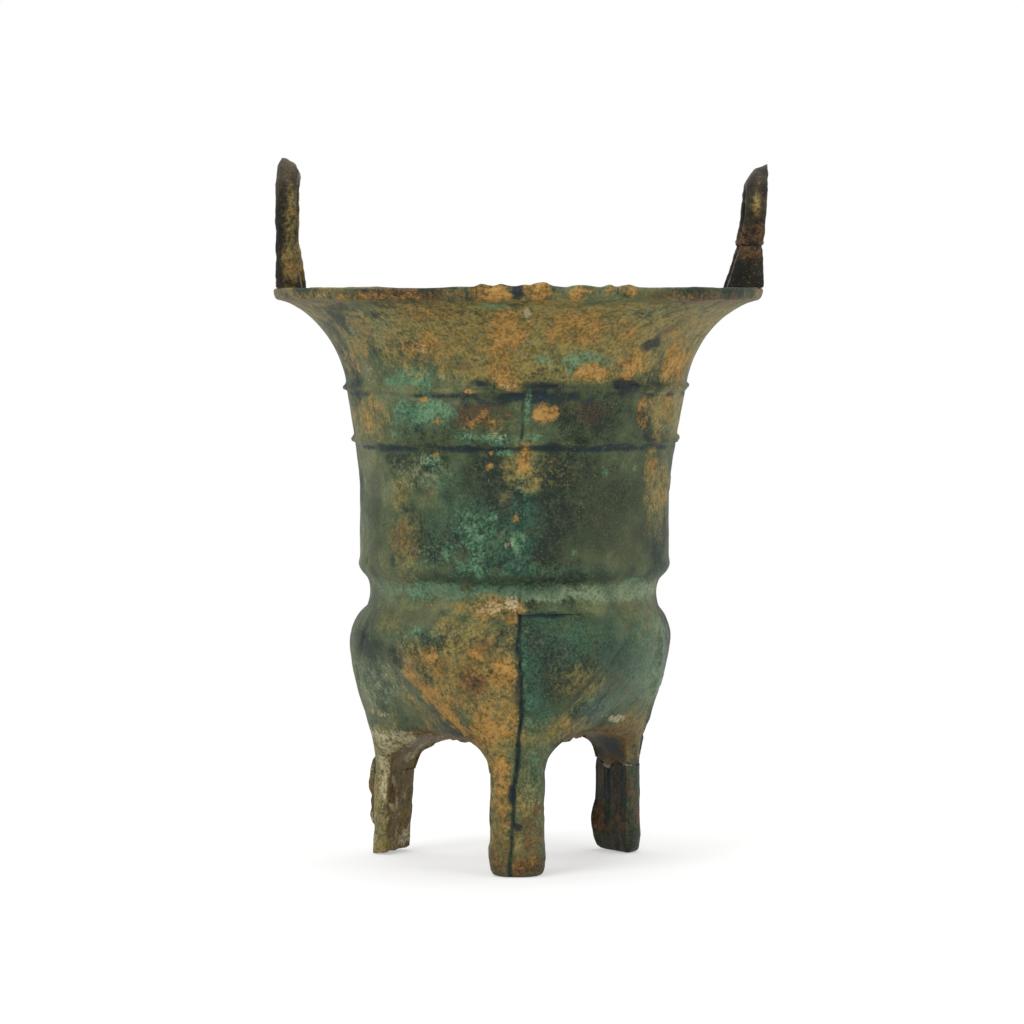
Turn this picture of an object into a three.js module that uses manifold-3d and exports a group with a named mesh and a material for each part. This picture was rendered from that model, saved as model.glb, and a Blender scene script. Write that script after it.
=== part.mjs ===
// Bronze yan steamer: a flared pot on a lobed three-legged boiler, with a hinged grate between them.
// Millimetres, +Z up. The origin is on the floor under the centre of the mouth, and the front leg faces -Y.
import * as THREE from "three";
import { mergeVertices } from "three/addons/utils/BufferGeometryUtils.js";
import Module from "manifold-3d";

const wasm = await Module();
wasm.setup();

// Whole vessel
const WALL = 3.2; // thickness of the cast wall
const CLEARANCE = 0.3; // gap between pieces that seat on each other
const LEAN = 5.3; // the casting leans: its feet stand this far to the left of its mouth
const LEG_TURN = 3.3; // degrees that the three legs are turned from dead ahead
const SEGMENTS = 48; // flats round a full turn

// Heights, stacked from the floor up
const LEG_HEIGHT = 58.5;
const ROOT_RADIUS = 17; // fillet that spreads a leg into the belly
const BELLY_HEIGHT = 70.5; // from the crotch between the legs up to the joint
const POT_HEIGHT = 180.6; // from the joint up to the rim

// Pot wall: radii outside, heights above the joint or below the rim
const JOINT_RADIUS = 83;
const WAIST_RADIUS = 81.5;
const WAIST_RISE = 8;
const DRUM_RADIUS = 88;
const DRUM_RISE = 25;
const DRUM_HEIGHT = 36;
const NECK_RADIUS = 97.2;
const NECK_DROP = 52.4;
const RIM_RADIUS = 139.1;
const LIP_HEIGHT = 6.8;
const LIP_ROUND = 4.3; // how far the lip's lower edge is drawn in
const LIP_WIDTH = 6;
const SPIGOT_HEIGHT = 4; // the pot's foot ring, inside the boiler's mouth
const BAND_DROPS = [56.4, 86.1]; // bow-string bands
const BAND_PROUD = 2.2;
const BAND_HEIGHT = 5;

// Boiler wall: how far it stands out from the joint, over a leg and in the cleft between two,
// at shares of the belly's height
const BELLY_SHARES = [0, 0.35, 0.7, 0.89];
const LOBE_BULGES = [2.2, 10, 12.8, 8];
const CLEFT_BULGES = [-33, -11, 1.8, 3];
const VAULT_RISE = 2; // the underside rises to its centre
const CLEFT_SAG = 2; // the belly hangs below the crotch height, least between the legs

// Legs: half-round columns with a flat face inwards
const LEG_DROPS = [1.5, 5, 11]; // the front, rear right and rear left roots start this far below LEG_HEIGHT
const LEG_SETBACK = 13; // from the joint's circle in to the flat face
const LEG_DEPTH = 15.4;
const LEG_HALF_WIDTH = 15;
const FOOT_ROUND = 4;
const FOOT_FLARE = 1.1;
const FOOT_FLARE_Z = 10;
const ANKLE_Z = 22;
const SOLE_TILT = 11; // degrees, the broken sole of the rear left leg
const CORE_COVER = 4.5; // metal round the clay core
const CORE_FLOOR = 16;
const CORE_CLEARANCE = 0.7;
const BREAK_GAP = 2.5; // filler between the rear right leg and its root
const BROKEN_SPLAY = 2.5; // the rear left leg, whose foot is broken off, leans out this far at its sole
const BROKEN_TAPER = 0.6; // and is drawn in this much all round
const TOE_REST = 3;
const FIN_PROUD = 4.2; // mould flash on the rear legs
const FIN_THICK = 1.4;
const LEFT_FIN_SPAN = [17, 47];
const LEFT_FIN_SIDE = 4; // off the middle of the rear left leg's half round
const RIGHT_FIN_SPAN = [3, 27];
const RIGHT_FIN_BEARING = 120; // it stands out of the inner corner, slantwise
const STRIP_WIDTH = 5;
const STRIP_THICK = 1.6;
const STRIP_HEIGHT = 14;
const STRIP_LEAN = 14; // degrees

// Handles: upright loops. Setbacks are measured inwards from the rim, at heights above it
const HANDLE_WIDTH = 64;
const HANDLE_BAR = 13;
const HANDLE_ARCH = 24; // height of the round top
const HANDLE_FOOT = 17; // how far the posts run down inside the flare
const HANDLE_CHAMFER = 0.22; // share of the bar's section
const LEFT_HANDLE_RISE = 73.4;
const LEFT_OUTER = [[0, 2.7], [66, 2.7], [71, 2.9], [73.4, 4.2]];
const LEFT_INNER = [[0, 17.4], [25, 12.8], [52, 13.9], [66, 14.8], [71.5, 12], [73.4, 8.4]];
const RIGHT_HANDLE_RISE = 70;
const RIGHT_OUTER = [[0, 1.2], [25, 1.7], [42, -0.6], [60, -1.1], [70, -3]];
const RIGHT_INNER = [[0, 21.2], [21, 14.5], [40, 11.1], [58, 9.8], [63, 7.6], [67.3, 4.4], [70, -1.4]];

// Grate at the waist and its hinge
const GRATE_RISE = 12; // mid-plane of the plate above the joint
const GRATE_THICKNESS = 4;
const GRATE_CLEARANCE = 7; // so that the plate can swing up inside the drum
const SLOT_LENGTH = 27;
const SLOT_WIDTH = 7;
const SLOT_SPREAD = 28;
const HINGE_SETBACK = 9; // hinge axis from the wall
const STAPLE_RADIUS = 2.5;
const STAPLE_SPAN = 21; // between the middles of its two ends
const KNUCKLE_RADIUS = 5.2;
const KNUCKLE_WIDTH = 12;
const HINGE_CLEARANCE = 0.5;
const KNUCKLE_REACH = 3; // neck between the plate's back edge and the knuckle
const LOOP_RADIUS = 13;
const LOOP_BAR = 2.8;
const LOOP_INSET = 15; // from the plate's front edge
const REST_REACH = 12;
const REST_WIDTH = 10;
const REST_HEIGHT = 9;
const REST_LIP = 2.5;
const REST_ANGLES = [-30, -90, -150];

// Chaplets: square spacers through the wall
const CHAPLET_SIZE = 8;
const POT_CHAPLET_RISE = 69.5;
const POT_CHAPLET_ANGLES = [-136.6, -121];
const BOILER_CHAPLET_DROP = 44;
const BOILER_CHAPLET_ANGLES = [-109];

const CROTCH_Z = LEG_HEIGHT + ROOT_RADIUS;
const JOINT_Z = CROTCH_Z + BELLY_HEIGHT;
const RIM_Z = JOINT_Z + POT_HEIGHT;
const GRATE_Z = JOINT_Z + GRATE_RISE;
const FAR = 2 * RIM_RADIUS; // beyond every wall, for cutters
const THIRDS = [0, 120, 240];
const [FRONT, REAR_RIGHT, REAR_LEFT] = THIRDS.keys(); // places of the legs in THIRDS and LEG_DROPS
const LEG_INNER = JOINT_RADIUS - LEG_SETBACK;
const LOBE_RADII = LOBE_BULGES.map((bulge) => JOINT_RADIUS + bulge);
const CLEFT_RADII = CLEFT_BULGES.map((bulge) => JOINT_RADIUS + bulge);
const radians = THREE.MathUtils.degToRad;

// Solids and finishes

function solid(geometry) {
  const bare = geometry.clone();
  bare.deleteAttribute("normal");
  bare.deleteAttribute("uv");
  const merged = mergeVertices(bare, 1e-4);
  const vertProperties = merged.attributes.position.array;
  const triVerts = new Uint32Array(merged.index.array);
  return new wasm.Manifold(new wasm.Mesh({ numProp: 3, vertProperties, triVerts }));
}

function geometryOf(body) {
  const mesh = body.getMesh();
  const geometry = new THREE.BufferGeometry();
  geometry.setAttribute("position", new THREE.BufferAttribute(mesh.vertProperties, 3));
  geometry.setIndex(new THREE.BufferAttribute(mesh.triVerts, 1));
  geometry.computeVertexNormals();
  return geometry;
}

function leanAt(z) {
  return -LEAN * (1 - z / RIM_Z);
}

// The cast walls lean as a whole: each level slides sideways.
function leaned(geometry) {
  const position = geometry.attributes.position;
  for (let i = 0; i < position.count; i++) {
    position.setX(i, position.getX(i) + leanAt(position.getZ(i)));
  }
  geometry.computeVertexNormals();
  return geometry;
}

// A closed skin over rings of points that run anticlockwise seen from the end of the stack.
function loft(rings, firstApex = centreOf(rings[0]), lastApex = centreOf(rings.at(-1))) {
  const sides = rings[0].length;
  const points = [...rings.flat(), firstApex, lastApex];
  const first = points.length - 2;
  const last = points.length - 1;
  const index = [];
  for (let i = 0; i < sides; i++) {
    const j = (i + 1) % sides;
    for (let k = 0; k < rings.length - 1; k++) {
      const low = k * sides;
      const high = low + sides;
      index.push(low + i, low + j, high + j, low + i, high + j, high + i);
    }
    const top = (rings.length - 1) * sides;
    index.push(first, j, i, last, top + i, top + j);
  }
  return new THREE.BufferGeometry().setFromPoints(points).setIndex(index);
}

function centreOf(ring) {
  const sum = ring.reduce((total, point) => total.add(point), new THREE.Vector3());
  return sum.divideScalar(ring.length);
}

// A solid of revolution about Z from a closed outline of radius and height.
function revolve(outline) {
  const geometry = new THREE.LatheGeometry([...outline, outline[0]], SEGMENTS);
  return solid(geometry.rotateX(Math.PI / 2));
}

function extrude(shape, depth) {
  return new THREE.ExtrudeGeometry(shape, { depth, bevelEnabled: false, curveSegments: 20 });
}

// Straight-line reading of a list of [height, value] pairs.
function valueAt(pairs, height) {
  const next = pairs.findIndex(([level]) => level > height);
  if (next === 0) return pairs[0][1];
  if (next < 0) return pairs.at(-1)[1];
  const [z0, v0] = pairs[next - 1];
  const [z1, v1] = pairs[next];
  return THREE.MathUtils.mapLinear(height, z0, z1, v0, v1);
}

function radiusAt(outline, z) {
  return valueAt(outline.map((point) => [point.y, point.x]), z);
}

function piece(name, geometry, color, roughness, metalness) {
  const mesh = new THREE.Mesh(geometry, new THREE.MeshStandardMaterial({ color, roughness, metalness }));
  mesh.name = name;
  return mesh;
}

function turned(degrees, ...children) {
  const group = new THREE.Group();
  group.rotation.z = radians(degrees);
  group.add(...children);
  return group;
}

// Pot

function potOuterOutline() {
  const wall = new THREE.Path();
  const drumFoot = JOINT_Z + DRUM_RISE;
  const drumTop = drumFoot + DRUM_HEIGHT;
  const neck = RIM_Z - NECK_DROP;
  const lip = RIM_Z - LIP_HEIGHT;
  const waist = JOINT_Z + WAIST_RISE;
  const rise = drumFoot - waist;
  const flareWidth = RIM_RADIUS - LIP_ROUND - NECK_RADIUS;
  wall.moveTo(JOINT_RADIUS, JOINT_Z);
  wall.quadraticCurveTo(WAIST_RADIUS, JOINT_Z + WAIST_RISE / 2, WAIST_RADIUS, waist);
  wall.bezierCurveTo(WAIST_RADIUS, waist + rise / 2, DRUM_RADIUS, waist + rise / 2, DRUM_RADIUS, drumFoot);
  wall.lineTo(DRUM_RADIUS, drumTop);
  wall.bezierCurveTo(
    DRUM_RADIUS, drumTop + (neck - drumTop) / 3,
    NECK_RADIUS - (neck - drumTop) / 30, neck - (neck - drumTop) / 4,
    NECK_RADIUS, neck,
  );
  wall.bezierCurveTo(
    NECK_RADIUS + flareWidth / 16, neck + (lip - neck) / 3,
    NECK_RADIUS + flareWidth * 0.4, lip - (lip - neck) / 7,
    RIM_RADIUS - LIP_ROUND, lip,
  );
  wall.quadraticCurveTo(RIM_RADIUS, lip, RIM_RADIUS, RIM_Z);
  return wall.getPoints(6);
}

// The same wall from inside, one thickness in along each point's normal.
function potInnerOutline(outer) {
  const lipEdge = new THREE.Vector2(RIM_RADIUS - LIP_WIDTH, RIM_Z);
  const inner = outer.slice(1, -1).map((point, i) => {
    const along = outer[i + 2].clone().sub(outer[i]).normalize();
    return new THREE.Vector2(point.x - WALL * along.y, point.y + WALL * along.x);
  });
  const clear = inner.filter((point) => point.x < lipEdge.x && point.y < RIM_Z - WALL);
  return [new THREE.Vector2(JOINT_RADIUS - WALL, JOINT_Z), ...clear, lipEdge];
}

function withBands(outline) {
  const levels = BAND_DROPS.map((drop) => RIM_Z - drop);
  const plain = outline.filter((point) => levels.every((z) => Math.abs(point.y - z) > BAND_HEIGHT / 2));
  const ridge = [[-0.5, 0], [-0.2, BAND_PROUD], [0.2, BAND_PROUD], [0.5, 0]];
  const raised = levels.flatMap((level) =>
    ridge.map(([share, proud]) => {
      const z = level + share * BAND_HEIGHT;
      return new THREE.Vector2(radiusAt(outline, z) + proud, z);
    }),
  );
  return [...plain, ...raised].sort((a, b) => a.y - b.y);
}

const potOuter = potOuterOutline();
const potInner = potInnerOutline(potOuter);
const waistRadius = radiusAt(potInner, GRATE_Z);

function potSolid() {
  const foot = JOINT_Z - SPIGOT_HEIGHT;
  const spigotRadius = JOINT_RADIUS - WALL / 2 - CLEARANCE;
  const spigot = [
    new THREE.Vector2(JOINT_RADIUS - WALL, foot),
    new THREE.Vector2(spigotRadius, foot),
    new THREE.Vector2(spigotRadius, JOINT_Z),
  ];
  return revolve([...spigot, ...withBands(potOuter), ...potInner.toReversed()]);
}

// All that lies in or beyond the pot's wall, and under its lip: what seats on the wall is trimmed by it.
function wallBlank() {
  const face = potInner.map((point) => new THREE.Vector2(point.x - CLEARANCE, point.y + CLEARANCE));
  const foot = JOINT_Z - SPIGOT_HEIGHT;
  return revolve([
    new THREE.Vector2(face[0].x, foot),
    new THREE.Vector2(FAR, foot),
    new THREE.Vector2(FAR, RIM_Z + CLEARANCE),
    ...face.toReversed(),
  ]);
}

// Boiler

// A ring of the boiler's three-lobed section, which hangs by a share of the belly's sag.
function lobedRing(lobe, cleft, z, hang) {
  return Array.from({ length: SEGMENTS }, (_, i) => {
    const angle = (i / SEGMENTS) * 2 * Math.PI - Math.PI / 2;
    const turn = 3 * (angle - radians(legAngle(0)));
    const share = (1 + Math.cos(turn)) / 2;
    const leg = THREE.MathUtils.euclideanModulo(Math.round(turn / (2 * Math.PI)), THIRDS.length);
    const radius = THREE.MathUtils.lerp(cleft, lobe, share);
    const sag = THREE.MathUtils.lerp(CLEFT_SAG, LEG_DROPS[leg], share);
    return new THREE.Vector3(radius * Math.cos(angle), radius * Math.sin(angle), z - hang * sag);
  });
}

// The belly as one closed body, drawn in by inset from the outer face and lifted by as much at its floor.
function belly(inset, topZ) {
  const profile = (radii) => {
    const points = [...radii, JOINT_RADIUS].map((radius, i) => {
      return new THREE.Vector2(radius, BELLY_SHARES[i] ?? 1);
    });
    return new THREE.SplineCurve(points).getPoints(12);
  };
  const lobes = profile(LOBE_RADII);
  const clefts = profile(CLEFT_RADII);
  const rings = lobes.map((lobe, i) => {
    const z = CROTCH_Z + lobe.y * BELLY_HEIGHT + inset * (1 - lobe.y);
    return lobedRing(lobe.x - inset, clefts[i].x - inset, z, (1 - lobe.y) ** 2);
  });
  const vault = [1 / 3, 2 / 3].map((share) => {
    const z = CROTCH_Z + inset + VAULT_RISE * (1 - share * share);
    return lobedRing((LOBE_RADII[0] - inset) * share, (CLEFT_RADII[0] - inset) * share, z, share * share);
  });
  if (topZ > JOINT_Z) {
    rings.push(lobedRing(JOINT_RADIUS - inset, JOINT_RADIUS - inset, topZ, 0));
  }
  const apex = new THREE.Vector3(0, 0, CROTCH_Z + inset + VAULT_RISE);
  return solid(loft([...vault, ...rings], apex));
}

// A leg's section: a flat face towards the axis and a half round outwards.
function halfRound(inner, outer, halfWidth, z) {
  const steps = 12;
  return Array.from({ length: steps + 1 }, (_, i) => {
    const angle = (i / steps - 0.5) * Math.PI;
    return new THREE.Vector3(inner + (outer - inner) * Math.cos(angle), halfWidth * Math.sin(angle), z);
  });
}

function legRing(inset, z) {
  return halfRound(LEG_INNER + inset, LEG_INNER + LEG_DEPTH - inset, LEG_HALF_WIDTH - inset, z);
}

// The flared top of a leg, which runs up into the belly.
function legRoot(leg) {
  const steps = 6;
  const fillet = Array.from({ length: steps + 1 }, (_, i) => {
    const angle = (i / steps) * (Math.PI / 2);
    const spread = ROOT_RADIUS * (1 - Math.cos(angle));
    const z = legTop(leg) + ROOT_RADIUS * Math.sin(angle);
    const legFace = LEG_INNER + LEG_DEPTH;
    const outer = THREE.MathUtils.lerp(legFace, LOBE_RADII[0], i / steps);
    return halfRound(LEG_INNER - spread, outer, LEG_HALF_WIDTH + spread, z);
  });
  const sunk = fillet.at(-1).map((point) => point.clone().setZ(CROTCH_Z + VAULT_RISE + WALL));
  return solid(loft([...fillet, sunk]));
}

function legCore(leg, grow) {
  const inset = CORE_COVER - grow;
  return solid(loft([legRing(inset, CORE_FLOOR - grow), legRing(inset, legTop(leg) + ROOT_RADIUS + grow)]));
}

function legAngle(i) {
  return THIRDS[i] - 90 + LEG_TURN;
}

function legTop(i) {
  return LEG_HEIGHT - LEG_DROPS[i];
}

function atLeg(body, i) {
  return body.rotate(0, 0, legAngle(i));
}

function boilerSolid() {
  const rebate = revolve([
    new THREE.Vector2(JOINT_RADIUS - 2 * WALL, JOINT_Z - SPIGOT_HEIGHT - CLEARANCE),
    new THREE.Vector2(JOINT_RADIUS - WALL / 2, JOINT_Z - SPIGOT_HEIGHT - CLEARANCE),
    new THREE.Vector2(JOINT_RADIUS - WALL / 2, JOINT_Z + WALL),
    new THREE.Vector2(JOINT_RADIUS - 2 * WALL, JOINT_Z + WALL),
  ]);
  let body = belly(0, JOINT_Z);
  THIRDS.forEach((_, i) => {
    body = body.add(atLeg(legRoot(i), i));
  });
  body = body.subtract(belly(WALL, JOINT_Z + WALL)).subtract(rebate);
  THIRDS.forEach((_, i) => {
    body = body.subtract(atLeg(legCore(i, CORE_CLEARANCE), i));
  });
  return body;
}

// Legs

// A leg from the floor up to topZ, hollow for its core.
function legSolid(leg, topZ) {
  const steps = 3;
  const foot = Array.from({ length: steps + 1 }, (_, i) => {
    const angle = (i / steps) * (Math.PI / 2);
    return legRing(FOOT_ROUND * (1 - Math.sin(angle)), FOOT_ROUND * (1 - Math.cos(angle)));
  });
  const shaft = [legRing(-FOOT_FLARE, FOOT_FLARE_Z), legRing(0, ANKLE_Z), legRing(0, topZ)];
  return solid(loft([...foot, ...shaft])).subtract(legCore(leg, CORE_CLEARANCE));
}

// A ragged fin of mould flash that stands out of a leg at one place of its section.
function flashFin(x, y, bearing, [low, high]) {
  const height = high - low;
  const fin = new THREE.Shape();
  fin.moveTo(-LEG_HALF_WIDTH / 3, low);
  fin.lineTo(FIN_PROUD * 0.3, low);
  fin.lineTo(FIN_PROUD * 0.7, low + height * 0.16);
  fin.lineTo(FIN_PROUD * 0.55, low + height * 0.42);
  fin.lineTo(FIN_PROUD, low + height * 0.7);
  fin.lineTo(FIN_PROUD * 0.8, low + height * 0.9);
  fin.lineTo(-LEG_HALF_WIDTH / 3, high);
  const upright = extrude(fin, FIN_THICK).translate(0, 0, -FIN_THICK / 2).rotateX(Math.PI / 2);
  return solid(upright.rotateZ(radians(bearing)).translate(x, y, 0));
}

// The leg without its foot: it leans out a little and ends in a slanting break.
function rearLeftLegSolid() {
  const floor = new THREE.BoxGeometry(FAR, FAR, FAR).translate(-FAR / 2, 0, -FAR / 2);
  const toe = LEG_INNER + LEG_DEPTH + BROKEN_SPLAY - TOE_REST;
  floor.rotateY(radians(SOLE_TILT)).translate(toe, 0, 0);
  const sole = legRing(BROKEN_TAPER, 0).map((point) => point.clone().setX(point.x + BROKEN_SPLAY));
  const shaft = solid(loft([sole, legRing(0, legTop(REAR_LEFT))]));
  const turn = Math.asin(LEFT_FIN_SIDE / LEG_HALF_WIDTH);
  const finX = LEG_INNER + LEG_DEPTH * Math.cos(turn);
  const fin = flashFin(finX, LEFT_FIN_SIDE, THREE.MathUtils.radToDeg(turn), LEFT_FIN_SPAN);
  return shaft.add(fin).subtract(legCore(REAR_LEFT, CORE_CLEARANCE)).subtract(solid(floor));
}

function rearRightLegSolid() {
  const edge = FIN_THICK / 2;
  const fin = flashFin(LEG_INNER + edge, LEG_HALF_WIDTH - edge, RIGHT_FIN_BEARING, RIGHT_FIN_SPAN);
  const trimmed = fin.subtract(legCore(REAR_RIGHT, CORE_CLEARANCE));
  return legSolid(REAR_RIGHT, legTop(REAR_RIGHT) - BREAK_GAP).add(trimmed);
}

function repairFillSolid() {
  const low = legRing(0, legTop(REAR_RIGHT) - BREAK_GAP);
  const high = legRing(0, legTop(REAR_RIGHT));
  return solid(loft([low, high])).subtract(legCore(REAR_RIGHT, CORE_CLEARANCE));
}

function repairStripGeometry() {
  const strip = new THREE.Shape();
  strip.moveTo(0, 0);
  strip.lineTo(STRIP_THICK, 0);
  strip.lineTo(STRIP_THICK * 0.9, STRIP_HEIGHT * 0.9);
  strip.lineTo(STRIP_THICK * 0.3, STRIP_HEIGHT);
  strip.lineTo(0, STRIP_HEIGHT * 0.7);
  const upright = extrude(strip, STRIP_WIDTH).rotateX(Math.PI / 2).translate(0, STRIP_WIDTH / 2, 0);
  return upright.rotateY(radians(STRIP_LEAN));
}

// Handles

// An arched bar across X. Its faces follow the setbacks, and its posts are trimmed to the wall.
function handleSolid(rise, outer, inner, blank) {
  const halfSpan = (HANDLE_WIDTH - HANDLE_BAR) / 2;
  const spring = rise - HANDLE_BAR / 2 - HANDLE_ARCH;
  const path = [
    [-halfSpan, -HANDLE_FOOT],
    [-halfSpan, 0],
    [-halfSpan, spring / 3],
    [-halfSpan, (2 * spring) / 3],
  ];
  const steps = 12;
  for (let i = 0; i <= steps; i++) {
    const angle = Math.PI * (1 - i / steps);
    path.push([halfSpan * Math.cos(angle), spring + HANDLE_ARCH * Math.sin(angle)]);
  }
  path.push(...path.slice(0, 4).reverse().map(([y, z]) => [-y, z]));
  const c = HANDLE_CHAMFER;
  const section = [[0, 1 - c], [c, 1], [1 - c, 1], [1, 1 - c], [1, c], [1 - c, 0], [c, 0], [0, c]];
  const rings = path.map(([y, z], i) => {
    const [y0, z0] = path[Math.max(i - 1, 0)];
    const [y1, z1] = path[Math.min(i + 1, path.length - 1)];
    const across = new THREE.Vector2(z0 - z1, y1 - y0).normalize();
    return section.map(([depth, side]) => {
      const offset = (side - 0.5) * HANDLE_BAR;
      const height = z + offset * across.y;
      const face = THREE.MathUtils.lerp(valueAt(inner, height), valueAt(outer, height), depth);
      return new THREE.Vector3(RIM_RADIUS - face, y + offset * across.x, RIM_Z + height);
    });
  });
  return solid(loft(rings)).subtract(blank);
}

// Grate

function crossSlot(x, y) {
  const long = SLOT_LENGTH / 2;
  const short = SLOT_WIDTH / 2;
  const corners = [[long, short], [short, short], [short, long]];
  const quarter = (turn) =>
    corners.map(([u, v]) => new THREE.Vector2(u, v).rotateAround(new THREE.Vector2(), (turn * Math.PI) / 2));
  const outline = [0, 1, 2, 3].flatMap(quarter);
  return new THREE.Path(outline.map((point) => point.add(new THREE.Vector2(x, y))));
}

const grateRadius = waistRadius - GRATE_CLEARANCE;
const hingeY = waistRadius - HINGE_SETBACK;
const grateBack = hingeY - KNUCKLE_RADIUS - KNUCKLE_REACH;

// The plate lies in the XY plane, with the knuckle that hangs on the staple at its back.
function grateSolid() {
  const corner = Math.asin(grateBack / grateRadius);
  const plate = new THREE.Shape();
  plate.absarc(0, 0, grateRadius, Math.PI - corner, 2 * Math.PI + corner);
  plate.holes.push(crossSlot(0, 0));
  for (const x of [-SLOT_SPREAD, SLOT_SPREAD]) {
    for (const y of [-SLOT_SPREAD, SLOT_SPREAD]) {
      plate.holes.push(crossSlot(x, y));
    }
  }
  const sheet = solid(extrude(plate, GRATE_THICKNESS).translate(0, 0, -GRATE_THICKNESS / 2));
  const eye = new THREE.Shape().absarc(0, 0, KNUCKLE_RADIUS, 0, 2 * Math.PI);
  const hole = new THREE.Path().absarc(0, 0, STAPLE_RADIUS + HINGE_CLEARANCE, 0, 2 * Math.PI);
  eye.holes.push(hole);
  const barrel = extrude(eye, KNUCKLE_WIDTH).translate(0, 0, -KNUCKLE_WIDTH / 2).rotateY(Math.PI / 2);
  const ringWall = KNUCKLE_RADIUS - STAPLE_RADIUS - HINGE_CLEARANCE;
  const neckEnd = hingeY - KNUCKLE_RADIUS + ringWall / 2;
  const neckStart = grateBack - KNUCKLE_REACH;
  const neck = new THREE.BoxGeometry(KNUCKLE_WIDTH, neckEnd - neckStart, GRATE_THICKNESS);
  neck.translate(0, (neckEnd + neckStart) / 2, 0);
  return sheet.add(solid(neck)).add(solid(barrel.translate(0, hingeY, 0)));
}

// Half a ring that stands on the plate.
function loopGeometry() {
  const rings = [];
  const steps = 10;
  for (let i = 0; i <= steps; i++) {
    const around = Math.PI * (1 - i / steps);
    rings.push(
      Array.from({ length: 8 }, (_, k) => {
        const angle = (-k / 8) * 2 * Math.PI;
        const radius = LOOP_RADIUS + LOOP_BAR * Math.cos(angle);
        const point = new THREE.Vector3(radius * Math.cos(around), 0, radius * Math.sin(around));
        return point.setY(LOOP_BAR * Math.sin(angle));
      }),
    );
  }
  return loft(rings);
}

function stapleSolid(blank) {
  const bar = new THREE.CylinderGeometry(STAPLE_RADIUS, STAPLE_RADIUS, STAPLE_SPAN, 12);
  let staple = solid(bar.rotateZ(Math.PI / 2).translate(0, hingeY, GRATE_Z));
  const reach = HINGE_SETBACK + WALL;
  for (const x of [-STAPLE_SPAN / 2, STAPLE_SPAN / 2]) {
    const end = new THREE.CylinderGeometry(STAPLE_RADIUS, STAPLE_RADIUS, reach + STAPLE_RADIUS, 12);
    end.translate(x, hingeY + (reach - STAPLE_RADIUS) / 2, GRATE_Z);
    staple = staple.add(solid(end));
  }
  return staple.subtract(blank);
}

function restSolid(blank) {
  const top = GRATE_Z - GRATE_THICKNESS / 2 - CLEARANCE;
  const tip = waistRadius - REST_REACH;
  const back = waistRadius + WALL;
  const bracket = new THREE.Shape();
  bracket.moveTo(tip, top);
  bracket.lineTo(tip, top - REST_LIP);
  bracket.lineTo(back, top - REST_HEIGHT);
  bracket.lineTo(back, top);
  const upright = extrude(bracket, REST_WIDTH).rotateX(Math.PI / 2).translate(0, REST_WIDTH / 2, 0);
  return solid(upright).subtract(blank);
}

// Chaplets

// A square peg through the wall at one bearing and height.
function chapletPeg(bearing, radius, z, size) {
  const peg = new THREE.BoxGeometry(6 * WALL, size, size).translate(radius, 0, z);
  return solid(peg.rotateZ(radians(bearing)));
}

// Cuts the pegs out of a wall, and gives the wall and the plugs that fill its holes.
function withChaplets(wall, bearings, radius, z) {
  let pierced = wall;
  const plugs = [];
  for (const turn of THIRDS) {
    for (const bearing of bearings) {
      plugs.push(wall.intersect(chapletPeg(bearing + turn, radius, z, CHAPLET_SIZE)));
      pierced = pierced.subtract(chapletPeg(bearing + turn, radius, z, CHAPLET_SIZE + 2 * CLEARANCE));
    }
  }
  return { pierced, plugs };
}

// Assembly

const group = new THREE.Group();
const blank = wallBlank();

const potChapletZ = JOINT_Z + POT_CHAPLET_RISE;
const pot = withChaplets(potSolid(), POT_CHAPLET_ANGLES, radiusAt(potOuter, potChapletZ), potChapletZ);
const boilerChapletZ = JOINT_Z - BOILER_CHAPLET_DROP;
const boiler = withChaplets(boilerSolid(), BOILER_CHAPLET_ANGLES, LOBE_RADII[1], boilerChapletZ);

group.add(piece("zeng_pot", leaned(geometryOf(pot.pierced)), 0x4d5a45, 0.7, 0.35));
group.add(piece("li_boiler", leaned(geometryOf(boiler.pierced)), 0x566049, 0.7, 0.35));
pot.plugs.forEach((plug, i) => {
  group.add(piece(`pot_chaplet_${i + 1}`, leaned(geometryOf(plug)), 0x5c5a3c, 0.65, 0.4));
});
boiler.plugs.forEach((plug, i) => {
  group.add(piece(`boiler_chaplet_${i + 1}`, leaned(geometryOf(plug)), 0x5c5a3c, 0.65, 0.4));
});

const rightHandle = handleSolid(RIGHT_HANDLE_RISE, RIGHT_OUTER, RIGHT_INNER, blank);
const leftHandle = handleSolid(LEFT_HANDLE_RISE, LEFT_OUTER, LEFT_INNER, blank);
group.add(piece("right_handle", geometryOf(rightHandle), 0x554a36, 0.75, 0.3));
group.add(turned(180, piece("left_handle", geometryOf(leftHandle), 0x5c4c30, 0.75, 0.3)));

const stand = new THREE.Group();
stand.position.x = leanAt(LEG_HEIGHT);
const core = (name, leg) => piece(name, geometryOf(legCore(leg, 0)), 0x8a6d4e, 0.95, 0);
const frontLeg = piece("front_leg", geometryOf(legSolid(FRONT, legTop(FRONT))), 0x6f6038, 0.7, 0.3);
const rearRightLeg = piece("rear_right_leg", geometryOf(rearRightLegSolid()), 0x4a4534, 0.7, 0.3);
const rearLeftLeg = piece("rear_left_leg", geometryOf(rearLeftLegSolid()), 0x6e6047, 0.75, 0.3);
const fill = piece("repair_fill", geometryOf(repairFillSolid()), 0x8b8a82, 0.9, 0);
const strip = piece("repair_strip", repairStripGeometry(), 0x22221f, 0.6, 0.5);
const legFace = LEG_INNER + LEG_DEPTH;
strip.position.set(legFace + CLEARANCE, 0, LEG_HEIGHT - STRIP_HEIGHT / 3);
stand.add(turned(legAngle(FRONT), frontLeg, core("front_leg_core", FRONT)));
stand.add(turned(legAngle(REAR_RIGHT), rearRightLeg, fill, strip, core("rear_right_leg_core", REAR_RIGHT)));
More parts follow.
